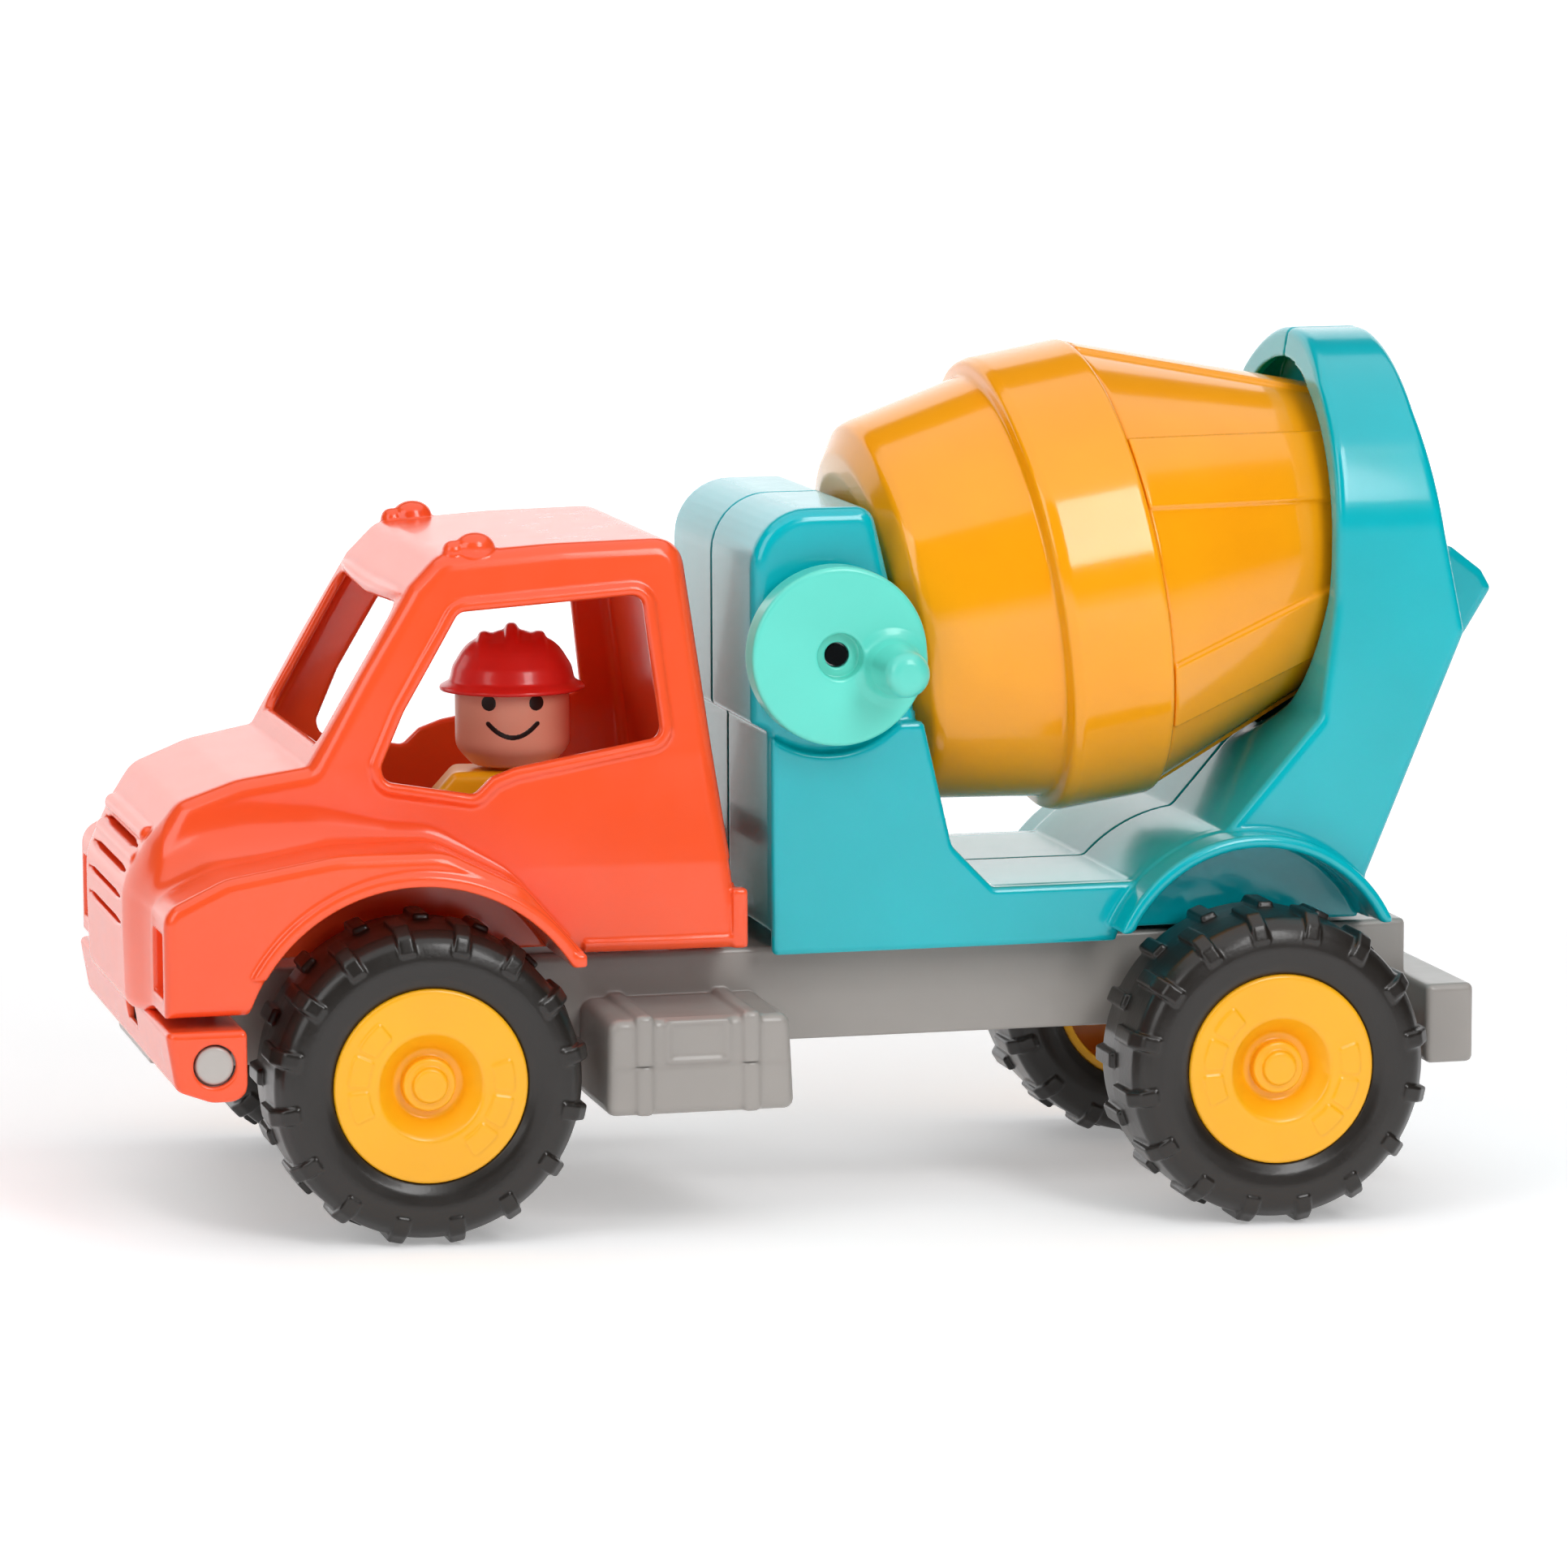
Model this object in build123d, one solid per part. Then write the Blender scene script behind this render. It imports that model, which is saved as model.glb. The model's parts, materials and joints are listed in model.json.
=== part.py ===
from build123d import *
import math
import os

# A toy cement mixer lorry. +X is forward, +Y is the lorry's left, +Z is up.
# The origin lies on the ground below the middle of the lorry. Millimetres and degrees.

# ---------------------------------------------------------------- driving dimensions
WHEELBASE = 221.0
TYRE_R = 40.8                # over the lugs
FRONT_AXLE_X = 111.2         # puts the origin at the middle of the overall length
RAKE = 1.6                   # the body sits nose-down over level axles
WALL = 2.5                   # moulded wall thickness
PART_GAP = 0.3               # between pieces that move past each other
RUNNING = 0.08               # radial clearance of a shaft in its bore

TRACK_OUTER = 78.0           # outer face of a tyre
TYRE_WIDTH = 36.0
TREAD_R = 38.6
HUB_R = 24.5
AXLE_R = 2.0
LUGS = 16
REAR_AXLE_DROP = WHEELBASE * math.sin(math.radians(RAKE))
REAR_AXLE_BACK = WHEELBASE * math.cos(math.radians(RAKE))

BODY_HALF = 48.0             # half width of the teal body
HOOP_R = 50.0                # outer radius of the rear hoop
HOOP_Z = 128.0
HOOP_SKIN = 3.0
CAB_HALF = 50.0
FENDER_HALF = 75.0
FRONT_ARCH_R = 49.0
REAR_ARCH_R = 36.9
LIP = 3.3                    # thickness of a wheel arch's lip
REAR_ARCH_Z = 11.6
REAR_ARCH_X = -220.0
CHASSIS_HALF = 36.0
CHASSIS_TOP = 24.6
DECK_Z = 39.2

CRANK_X, CRANK_Z = -109.3, 101.7
CRANK_DISC_R = 22.8
CRANK_BACK, CRANK_FACE = 50.5, 59.5
KNOB_ANGLE = 193.5           # from +X towards +Z
KNOB_REACH = 13.7
CRANK_SHAFT_R = 3.0

DRUM_TILT = 9.6              # rear end high
DRUM_MID_X = -181.0          # the drum's own zero, inside its band
DRUM_MID_Z = CRANK_Z + (CRANK_X - DRUM_MID_X) * math.tan(math.radians(DRUM_TILT))
DRUM_TO_CRANK = (CRANK_X - DRUM_MID_X) / math.cos(math.radians(DRUM_TILT))
DRUM_FACE = 52.5
DRUM_MOUTH = -87.0
NECK_R = 34.4
SKIN = 2.2                   # drum wall
CONE_R = 59.0                # rear cone's radius beside the band
CONE_SLOPE = 0.362
RIBS = 6
RIB_WIDTH = 20.0
RIB_HEIGHT = 1.2
SPINDLE_R = 5.0

GEAR_MODULE = 1.4
PINION_TEETH = 10
CROWN_TEETH = 24
PINION_R = GEAR_MODULE * PINION_TEETH / 2
CROWN_R = GEAR_MODULE * CROWN_TEETH / 2

DRIVER_X = -36.8
DRIVER_FACING = 79.0         # turned towards the left side window

# ---------------------------------------------------------------- frames
BODY = Location((FRONT_AXLE_X, 0, TYRE_R), (0, RAKE, 0))
DRUM = Location((DRUM_MID_X, 0, DRUM_MID_Z), (0, DRUM_TILT, 0))
CRANK = Location((CRANK_X, 0, CRANK_Z))


# ---------------------------------------------------------------- helpers
def outline(corners):
    """A closed face from (x, z) or (x, z, fillet radius) corners."""
    face = Polygon(*[corner[:2] for corner in corners], align=None)
    for corner in corners:
        if len(corner) == 3:
            nearest = face.vertices().sort_by_distance((corner[0], corner[1], 0))[0]
            face = fillet(nearest, corner[2])
    return face


def slab(face, low_y, high_y):
    """Extrude a face drawn in x and z from low_y to high_y."""
    return Pos(0, low_y, 0) * extrude(Plane.XZ * face, amount=high_y - low_y, dir=(0, 1, 0))


def across(face, low_x, high_x):
    """Extrude a face drawn in y and z from low_x to high_x."""
    return Pos(low_x, 0, 0) * extrude(Plane.YZ * face, amount=high_x - low_x, dir=(1, 0, 0))


def upright(face, low_z, high_z):
    """Extrude a face drawn in x and y from low_z to high_z."""
    return Pos(0, 0, low_z) * extrude(face, amount=high_z - low_z, dir=(0, 0, 1))


def block(low, high):
    """A box from its lowest to its highest corner."""
    size = [b - a for a, b in zip(low, high)]
    return Pos(*low) * Box(*size, align=(Align.MIN, Align.MIN, Align.MIN))


def rod_y(radius, low_y, high_y, x=0.0, z=0.0):
    """A cylinder along Y."""
    return Pos(x, low_y, z) * Rot(-90, 0, 0) * Cylinder(
        radius, high_y - low_y, align=(Align.CENTER, Align.CENTER, Align.MIN))


def rod_x(radius, low_x, high_x):
    """A cylinder along the local X axis."""
    return Pos(low_x, 0, 0) * Rot(0, 90, 0) * Cylinder(
        radius, high_x - low_x, align=(Align.CENTER, Align.CENTER, Align.MIN))


def rod_z(radius, low_z, high_z, x=0.0, y=0.0):
    """A cylinder along Z."""
    return Pos(x, y, low_z) * Cylinder(
        radius, high_z - low_z, align=(Align.CENTER, Align.CENTER, Align.MIN))


def turned_x(points):
    """A solid of revolution about local X, from (along, radius) points."""
    return revolve(Polygon(*points, align=None), axis=Axis.X)


def turned_y(points):
    """A solid of revolution about local Y, from (radius, along) points."""
    return revolve(Polygon(*points, align=None), axis=Axis.Y)


def turned_z(points):
    """A solid of revolution about local Z, from (radius, height) points."""
    return revolve(Plane.XZ * Polygon(*points, align=None), axis=Axis.Z)


def other_side(part):
    return mirror(part, about=Plane.XZ)


def save(name, part):
    part.label = name
    export_step(part, os.path.join("parts", name + ".step"))


# ---------------------------------------------------------------- chassis and bumper
CHASSIS_SCREWS = [(-104, 24), (-104, -24), (-170, 24), (-170, -24)]
CAB_SCREWS = [(-76, 26), (-76, -26), (56, 20), (56, -20)]
SCREW_R = 1.45
POST_R = 4.2                 # a moulded post that a screw bites into
SPINDLE_SCREW_R = 1.45
BODY_SCREWS = [(-101, 62), (-120, 32), (-150, 31.5), (-246, 62)]
GRILLE_BARS = [(65.8, 33.1), (66.2, 39.5), (66.0, 46.1), (65.0, 52.6), (62.5, 58.9)]
BAR_R = 2.9


def chassis_frame():
    top = CHASSIS_TOP
    frame = block((-268, -CHASSIS_HALF, 0), (48, CHASSIS_HALF, top))
    frame += block((48, -28, 0), (63, 28, top))
    frame -= block((-268 + WALL, -CHASSIS_HALF + WALL, -1), (48 - WALL, CHASSIS_HALF - WALL, top - WALL))
    frame -= block((48 - WALL, -28 + WALL, -1), (63 - WALL, 28 - WALL, top - WALL))
    for x in (-190, -140, -60, -20, 25):
        frame += block((x, -CHASSIS_HALF + 1, 8), (x + WALL, CHASSIS_HALF - 1, top - 1))
    for axle_x, axle_z in ((0, 0), (-REAR_AXLE_BACK, -REAR_AXLE_DROP)):
        for y in (-CHASSIS_HALF, CHASSIS_HALF - 9):
            frame += block((axle_x - 9, y, axle_z - 6), (axle_x + 9, y + 9, top - 1))
        frame -= rod_y(AXLE_R + RUNNING, -60, 60, axle_x, axle_z)
    for x, y in CHASSIS_SCREWS + CAB_SCREWS:
        frame += rod_z(4.5, 14, top - 1, x, y)
        frame -= rod_z(SCREW_R + 0.15, 0, top + 1, x, y)
        frame -= rod_z(3.2, -1, 17, x, y)
    for side in (-1, 1):
        arm = block((49.5, 28 - WALL, 2), (58.9, 74.6, 14))
        box = toolbox()
        bar = rear_bumper_end()
        frame += arm if side > 0 else other_side(arm)
        frame += box if side > 0 else other_side(box)
        frame += bar if side > 0 else other_side(bar)
        frame -= rod_y(3.0, 60 * side - 15, 60 * side + 15, 54.2, 7.9)
    return frame


def toolbox():
    """The strapped locker below the cab's left side."""
    body = slab(outline([(-45.8, -11.4, 2), (-94.4, -11.4, 2), (-93.2, 13.2, 2), (-46.6, 13.2, 2)]),
                CHASSIS_HALF - 1, 70.5)
    cavity = block((-91.5, CHASSIS_HALF + 1, -12), (-48.5, 70.5 - WALL, 10.5))
    body -= cavity
    for x in (-55.5, -83.0):
        strap = block((x - 2.4, CHASSIS_HALF, -11.4), (x + 2.4, 71.6, 14.3))
        strap -= block((x - 5, CHASSIS_HALF - 1, -12), (x + 5, 70.4, 13.1))
        body += strap
    frame = block((-77.5, 70.4, 1.5), (-61, 71.1, 11.0)) - block((-76.3, 70, 2.7), (-62.2, 72, 9.8))
    return body + frame


def rear_bumper_end():
    """One half of the bar behind the rear wheels."""
    bar = block((-280, 0, -10.7), (-267, 56, 10.2))
    bar = fillet(bar.faces().sort_by(Axis.Y)[-1].edges(), 1.5)
    return bar - block((-280 + WALL, -1, -11), (-268, 56 - WALL, 10.2 - WALL))


def front_bumper():
    """A bowed bar with folded-back ends that snaps over two pins."""
    plan = make_face(Line((45.6, -78), (64.5, -78)) + Line((64.5, -78), (66.2, -76))
                     + ThreePointArc((66.2, -76), (70.0, 0), (66.2, 76))
                     + Line((66.2, 76), (64.5, 78)) + Line((64.5, 78), (45.6, 78))
                     + Line((45.6, 78), (45.6, -78)))
    bar = upright(plan, -1.4, 16.5)
    low_edge = outline([(75, -5), (75, 3.6), (64, 2.0), (54, -1.4), (40, -1.4), (40, -5)])
    bar -= slab(low_edge, -80, 80)
    inner = make_face(Line((40, -75.4), (63.2, -75.4)) + ThreePointArc((63.2, -75.4), (67.2, 0), (63.2, 75.4))
                      + Line((63.2, 75.4), (40, 75.4)) + Line((40, 75.4), (40, -75.4)))
    bar -= upright(inner, -2, 14)
    bar -= block((40, -40, 5), (67.2 - 3.9, 40, 20))
    bar -= block((60, -4, 7.2), (75, 0, 13.8))
    bar -= rod_y(5.3, -90, 90, 54.2, 7.9)
    return bar


def bumper_pin():
    pin = rod_y(5.0, 74.8, 78.0, 54.2, 7.9)
    return pin + rod_y(3.0, 62, 75, 54.2, 7.9)


# ---------------------------------------------------------------- cab
def cab_side():
    return outline([(65.6, 19.3), (66.4, 34), (66.4, 46), (63.6, 58.5, 5), (57.0, 68.0, 8), (42.0, 73.6, 20),
                    (24.5, 76.6, 1), (-1.6, 121.0, 1), (-9.5, 129.0, 4), (-71.6, 132.0, 7),
                    (-87.6, 27.5), (-38, 27.5), (-38, 19.3)])


def cab_plan(inset):
    half = CAB_HALF - inset
    return Polygon((72, -33 + inset), (61, -41.5 + inset), (24, -half + 3), (-12, -half - 1), (-90, -half - 6),
                   (-90, half + 6), (-12, half + 1), (24, half - 3), (61, 41.5 - inset), (72, 33 - inset), align=None)


def cab_front(inset):
    half = CAB_HALF - inset
    return outline([(-half - 6, 5), (half + 6, 5), (half + 4, 50), (half, 78),
                    (half - 4, 132.0 - inset, 5), (-half + 4, 132.0 - inset, 5), (-half, 78), (-half - 4, 50)])


def fender_side():
    return outline([(65.6, 19.3), (65.6, 46, 6), (50, 53.5, 12), (22, 57.6, 30), (-8, 57.6, 14),
                    (-28, 48.5, 14), (-43, 31.5), (-43, 27.5), (-36, 27.5), (-36, 19.3)])


def cab_form(inset):
    """The cab's outer form, or with an inset the hollow inside it, which is open below."""
    side = offset(cab_side(), -inset) if inset else cab_side()
    fender = offset(fender_side(), -inset) if inset else fender_side()
    if inset:
        side += Polygon((-84, 50), (-84.5, 10), (65 - inset, 10), (65 - inset, 50), align=None)
        fender += Polygon((-40, 31), (-40, 10), (62.8, 10), (62.8, 31), align=None)
    cabin = slab(side, -70, 70)
    cabin &= upright(cab_plan(inset), 0, 160)
    cabin &= across(cab_front(inset), -100, 90)
    return cabin + slab(fender, -FENDER_HALF + inset, FENDER_HALF - inset)


def side_window():
    return outline([(-13.9, 114.5, 3), (-60.9, 117.6, 3), (-65.1, 81.6, 3), (-27.4, 75.2), (-21.3, 73.0),
                    (-16.9, 68.8, 1), (5.6, 72.6, 2), (6.5, 76.4, 1), (0.6, 90.0)])


def cab_shell():
    cab = cab_form(0)
    for x, z in GRILLE_BARS:
        cab += rod_y(BAR_R, -33, 33, x, z)
    for side in (-1, 1):
        lip = rod_y(FRONT_ARCH_R + 3.2, side * 74 - 2.4, side * 74 + 2.4)
        cab += lip & block((-46, -90, 27.5), (60, 90, 70))
    cab -= cab_form(WALL) + chassis_room()
    cab -= slab(side_window(), -70, 70)
    shield = outline([(-39, 81, 4), (39, 81, 4), (40, 117, 4), (-40, 117, 4)])
    cab -= across(shield, -8, 45)
    for x, z in GRILLE_BARS[1:]:
        cab -= block((55, -26, z - BAR_R - 0.9), (75, 26, z - BAR_R + 0.4))
    for side in (-1, 1):
        cab -= rod_y(FRONT_ARCH_R, side * 60 - 22, side * 60 + 22)
        surround = block((57.5, 52.3, 21.2), (65.0, 72.0, 41.7))
        pocket = block((59.6, 54.5, 23.4), (72, 69.8, 39.5))
        cab += surround if side > 0 else other_side(surround)
        cab -= pocket if side > 0 else other_side(pocket)
        light = Pos(-18, side * 42.4, 129.2) * Cylinder(5.2, 5.0)
        cab += light - block((-30, -60, 100), (0, 60, 127.5))
    for x, y in CAB_SCREWS:
        reach = -86.0 if x < 0 else 67.0
        column = rod_z(POST_R, CHASSIS_TOP, CHASSIS_TOP + 16, x, y)
        web = block((min(x, reach), y - 1.2, CHASSIS_TOP + 3), (max(x, reach), y + 1.2, CHASSIS_TOP + 16))
        web &= cab_form(1.0)
        cab += column + web
        cab -= rod_z(SCREW_R, CHASSIS_TOP - 1, CHASSIS_TOP + 13, x, y)
    return cab


def chassis_room():
    """The space that the chassis fills below the cab and the body."""
    return block((-270, -CHASSIS_HALF - 0.3, -20), (63.2, CHASSIS_HALF + 0.3, CHASSIS_TOP))


def seat_base():
    seat = block((DRIVER_X - 27, -32, CHASSIS_TOP), (DRIVER_X + 25, 32, 42))
    seat -= block((DRIVER_X - 24, -29, CHASSIS_TOP - 1), (DRIVER_X + 22, 29, 39))
    seat += rod_z(9, CHASSIS_TOP, 40, DRIVER_X)
    return seat - rod_z(6 + RUNNING, 29, 50, DRIVER_X)


# ---------------------------------------------------------------- driver, facing local +X
def driver_frame():
    return Location((DRIVER_X, 0, 0), (0, 0, DRIVER_FACING))


def driver_torso():
    chest = across(outline([(-23, 42.5, 3), (23, 42.5, 3), (23, 60, 3), (15.5, 68.4, 2), (-15.5, 68.4, 2),
                            (-23, 60, 3)]), -10, 10)
    return chest + rod_z(6, 30, 43) + rod_z(6, 68, 78)


def driver_head():
    head = turned_z([(0, 69.4), (9.5, 69.4), (12.6, 71.4), (14.2, 75), (14.8, 79.5), (14.8, 91.5), (0, 91.5)])
    return head - rod_z(6.05, 69, 78.2)


def driver_helmet():
    bowl = turned_z([(0, 104.6), (6, 103.8), (11.6, 100.4), (15.2, 95), (16.2, 91.2), (18.8, 89.8),
                     (18.8, 88.8), (15.0, 88.8), (15.0, 91.6), (14.0, 94.6), (10.6, 98.4), (5.3, 101.4),
                     (0, 102.2)])
    ridges = Part()
    for y in (-7, 0, 7):
        ridge = rod_y(14.6 - abs(y) * 0.3, y - 1.6, y + 1.6, 0, 91.2)
        ridges += ridge & block((-20, -20, 94), (20, 20, 120))
    ridges -= turned_z([(0, 88), (14.9, 88), (14.9, 91.6), (13.9, 94.6), (10.5, 98.4), (5.2, 101.4), (0, 102.2)])
    return bowl + ridges


# ---------------------------------------------------------------- drum, about local X
def cone_r(along):
    """Outer radius of the drum's rear cone."""
    return CONE_R + (along + 14.0) * CONE_SLOPE


def drum_front_shell():
    cup = turned_x([(DRUM_FACE, 0), (DRUM_FACE, 37.5), (51.9, 41.0), (50.4, 45.0), (48.3, 48.4), (45.4, 50.2),
                    (14, 56.1), (13.4, 59.2), (12.2, 60.2), (10.5, 60.5), (-13.8, 60.9), (-13.8, 57.75),
                    (-3.0, 57.75), (-3.0, 56.0), (12, 53.8), (44.6, 47.8), (47.2, 46.0), (49.0, 42.6),
                    (50.0, 39.0), (50.2, 36), (50.2, 0)])
    cup -= rod_x(SPINDLE_SCREW_R + 0.05, 40, 60)
    boss = rod_x(8, DRUM_FACE - 0.5, DRUM_FACE + 1.4)
    return cup + (boss - rod_x(SPINDLE_R, 40, 60)) - rod_x(SPINDLE_R, 51.0, 60)


def drum_rear_shell():
    cone = turned_x([(-3.1, 57.65), (-13.9, 57.65), (-14.0, CONE_R), (-80, cone_r(-80)), (-80.6, NECK_R),
                     (DRUM_MOUTH, NECK_R), (DRUM_MOUTH, NECK_R - SKIN), (-80.2, NECK_R - SKIN), (-15, 56.2),
                     (-12, 55.2), (-3.1, 55.2)])
    hollow = turned_x([(0, 0), (0, 56.4), (-15, 57.0), (-79, cone_r(-79) - 1.2), (-79, 0)])
    for index in range(RIBS):
        rib = block((-78.5, -RIB_WIDTH / 2, 30), (-14.0, RIB_WIDTH / 2, 70))
        raised = turned_x([(-14.0, 0), (-14.0, CONE_R + RIB_HEIGHT), (-78.5, cone_r(-78.5) + RIB_HEIGHT),
                           (-78.5, 0)])
        cone += Rot(360 / RIBS * index, 0, 0) * ((rib & raised) - hollow)
    return cone


def drum_clearance():
    """The room that the turning drum needs."""
    gap = 1.0
    return turned_x([(DRUM_FACE + gap, 0), (DRUM_FACE + gap, 41), (50.6, 48.4), (46, 51.6), (14, 61.8),
                     (-14, 62.0), (-79, cone_r(-79) + RIB_HEIGHT + gap), (-79, 0)])


# ---------------------------------------------------------------- drive train
def crown_tooth(index):
    """One radial tooth on the crown gear's front face."""
    root = DRUM_TO_CRANK - PINION_R - 1.7
    tip = DRUM_TO_CRANK - PINION_R + 1.1
    face = Polygon((root - 0.2, -1.0), (root - 0.2, 1.0), (tip, 0.45), (tip, -0.45), align=None)
    tooth = upright(face, CROWN_R - 2.6, CROWN_R + 2.6)
    return Rot(360 / CROWN_TEETH * index, 0, 0) * tooth


def crown_gear():
    """Wheel and spindle in one, keyed into the drum's front boss."""
    back = DRUM_TO_CRANK - PINION_R - 4.7
    front = DRUM_TO_CRANK - PINION_R - 1.7
    gear = rod_x(CROWN_R + 3.2, back, front) + rod_x(SPINDLE_R - RUNNING, 51.0, back + 1)
    for index in range(CROWN_TEETH):
        gear += crown_tooth(index)
    return gear - rod_x(SPINDLE_SCREW_R, 40, 60)


def spindle_screw():
    return rod_x(SPINDLE_SCREW_R, 49, 59.5) + rod_x(3.4, 48.2, 50.1)


def pinion():
    """A spur pinion on the crank shaft, meshing with the crown gear at its left side."""
    low, high = CROWN_R - 2.6, CROWN_R + 2.6
    gear = rod_y(PINION_R - 1.6, low, high)
    for index in range(PINION_TEETH):
        face = Polygon((-0.95, PINION_R - 2.2), (0.95, PINION_R - 2.2), (0.45, PINION_R + 1.1),
                       (-0.45, PINION_R + 1.1), align=None)
        angle = 360 / PINION_TEETH * (index + 0.5) + 90 + DRUM_TILT
        gear += Rot(0, angle, 0) * slab(face, low, high)
    return gear - rod_y(CRANK_SHAFT_R, low - 1, high + 1)


def crank_shaft():
    shaft = rod_y(CRANK_SHAFT_R, -51.0, 53.5)
    return shaft - rod_y(1.25, 43, 60)


def crank_screw():
    return rod_y(1.2, 44, 53.6) + rod_y(2.8, 53.5, 55.2)


def crank_wheel():
    wheel = rod_y(CRANK_DISC_R, CRANK_BACK, CRANK_FACE)
    wheel = fillet(wheel.edges().filter_by(GeomType.CIRCLE), 0.8)
    angle = math.radians(KNOB_ANGLE)
    knob = turned_y([(0, 58), (9.0, 58), (8.6, 59.8), (7.4, 61.0), (6.6, 63.5), (5.6, 74.5), (4.6, 76.8),
                     (2.6, 77.6), (0, 77.6)])
    wheel += Pos(KNOB_REACH * math.cos(angle), 0, KNOB_REACH * math.sin(angle)) * knob
    wheel -= rod_y(CRANK_SHAFT_R, 50, 54)
    wheel -= rod_y(3.2, 53.5, 60)
    return wheel - rod_y(5.8, 55.6, 60)


def shaft_cap():
    return rod_y(6.5, -52.2, -48.6) - rod_y(CRANK_SHAFT_R, -51.0, -40)


# ---------------------------------------------------------------- teal body
def body_side():
    corners = [(-94.2, 24, 1.5), (-94.2, 81, 1.5), (-89.8, 83.5), (-89.8, 138.0, 15), (-121.4, 138.0, 4),
               (-125.9, 119.0), (-141.6, 50.6, 4), (-152.5, DECK_Z, 2), (-200, DECK_Z), (-225, DECK_Z),
               (-225, 60), (-262, 60), (-252.5, 38.6), (-252.5, 24)]
    return outline(corners)


def hoop_side():
    return outline([(-206, 42), (-239.9, 80.3, 4), (-243.8, 110, 30), (-244.2, 165, 10), (-246.6, 179),
                    (-266.4, 179), (-268.2, 158, 20), (-273.6, 127.5, 20), (-279.0, 101.5, 3), (-252.6, 38.6),
                    (-252.6, 30)])


def hoop_arch(inset):
    half = HOOP_R - inset
    return Pos(0, HOOP_Z) * Circle(half) + Polygon((-half, 25), (half, 25), (half, HOOP_Z), (-half, HOOP_Z),
                                                   align=None)


ARCH_ZONE = Polygon((-262, 27.5), (-262, 70), (-180, 70), (-180, 27.5), align=None)


def fender_ring(radius):
    return Pos(REAR_ARCH_X, REAR_ARCH_Z) * Circle(radius)


def hump_shell():
    """Tower, deck and hump as a hollow shell over the rear wheel arches."""
    arch_disc = fender_ring(REAR_ARCH_R)
    below = Polygon((-300, -20), (-300, 24), (-80, 24), (-80, -20), align=None)
    side = body_side() + (fender_ring(REAR_ARCH_R + LIP) & ARCH_ZONE)
    hollow = offset(side, -WALL) - fender_ring(REAR_ARCH_R + WALL)
    hollow += Polygon((-91, 30), (-91, 20), (-184, 20), (-184, 30), align=None)
    shell = slab(side - arch_disc - below, -BODY_HALF, BODY_HALF)
    return shell - slab(hollow, -BODY_HALF + WALL, BODY_HALF - WALL)


def add_hoop(body):
    """Joins the hollow hoop that carries the drum's rear end."""
    skin = HOOP_SKIN
    throat = offset(hoop_side(), -skin) + Polygon((-262, 86), (-262, 178), (-295, 178), (-295, 86), align=None)
    throat -= fender_ring(REAR_ARCH_R + WALL)
    inside = slab(throat, -HOOP_R, HOOP_R) & across(hoop_arch(skin), -300, -200)
    hoop = slab(hoop_side() - fender_ring(REAR_ARCH_R), -HOOP_R, HOOP_R) & across(hoop_arch(0), -300, -200)
    rear_wall = hoop_side() & Polygon((-262, 30), (-285, 30), (-285, 86), (-262, 86), align=None)
    body -= slab(hoop_side(), -HOOP_R, HOOP_R) & across(hoop_arch(skin), -300, -200)
    body += hoop - inside
    return body + slab(rear_wall, -46, 46) - inside


def wheel_arches():
    """The outer lips over the rear tyres and the walls inside them."""
    lip = (fender_ring(REAR_ARCH_R + LIP) - fender_ring(REAR_ARCH_R)) & ARCH_ZONE
    well = fender_ring(REAR_ARCH_R) & Polygon((-262, CHASSIS_TOP + 1.5), (-262, 70), (-180, 70),
                                              (-180, CHASSIS_TOP + 1.5), align=None)
    return slab(lip, -60, 60) + slab(well, -39, -36.5) + slab(well, 36.5, 39)


def drum_bearings():
    """The wall before the drum and the collar round its neck."""
    wall = DRUM * (block((55.3, -60, -60), (58.3, 60, 60)) - rod_x(SPINDLE_R, 50, 60))
    tower = offset(body_side(), -1) & Polygon((-85, 60), (-160, 60), (-160, 140), (-85, 140), align=None)
    wall &= slab(tower, -BODY_HALF + 1, BODY_HALF - 1)
    collar = DRUM * (block((-83.5, -60, -90), (-80.9, 60, 60)) - rod_x(NECK_R + PART_GAP, -90, -70))
    ring = offset(hoop_side(), -1) + Polygon((-262, 88), (-262, 176), (-275, 170), (-279, 88), align=None)
    collar &= slab(ring, -HOOP_R + 1, HOOP_R - 1)
    collar &= across(hoop_arch(1.0) & Polygon((-60, 70), (60, 70), (60, 180), (-60, 180), align=None), -300, -200)
    return wall + collar


def add_screw_posts(body):
    """Posts for the screws that rise through the chassis and for those that join the halves."""
    for x, y in CHASSIS_SCREWS:
        body += rod_z(POST_R, CHASSIS_TOP, DECK_Z - 1, x, y)
        if x > -142:
            end = math.copysign(BODY_HALF - 1, y)
            body += block((x - 1.2, min(y, end), 30), (x + 1.2, max(y, end), DECK_Z - 1))
        body -= rod_z(SCREW_R, CHASSIS_TOP - 1, CHASSIS_TOP + 11, x, y)
    for x, z in BODY_SCREWS:
        body += rod_y(3.6, -BODY_HALF + 1, BODY_HALF - 1, x, z)
        body -= rod_y(SCREW_R, -BODY_HALF - 5, 12, x, z)
        body -= rod_y(3.0, -BODY_HALF - 5, -12, x, z)
    return body


def mixer_body():
    """The whole body in one, before it is cut into its two mouldings."""
    body = add_hoop(hump_shell()) + wheel_arches()
    body -= DRUM * drum_clearance()
    body -= DRUM * rod_x(44.6, -78, -55)
    body -= chassis_room()
    body -= DRUM * block((30, -BODY_HALF + WALL, -58), (55.4, BODY_HALF - WALL, 13))
    body += drum_bearings()
    body += CRANK * (rod_y(7.5, 36, BODY_HALF) + rod_y(12, BODY_HALF - 1, BODY_HALF + 1.8))
    body += CRANK * rod_y(7.5, -BODY_HALF, -36)
    body -= CRANK * rod_y(CRANK_SHAFT_R + RUNNING, -80, 80)
    return add_screw_posts(body)


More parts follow.
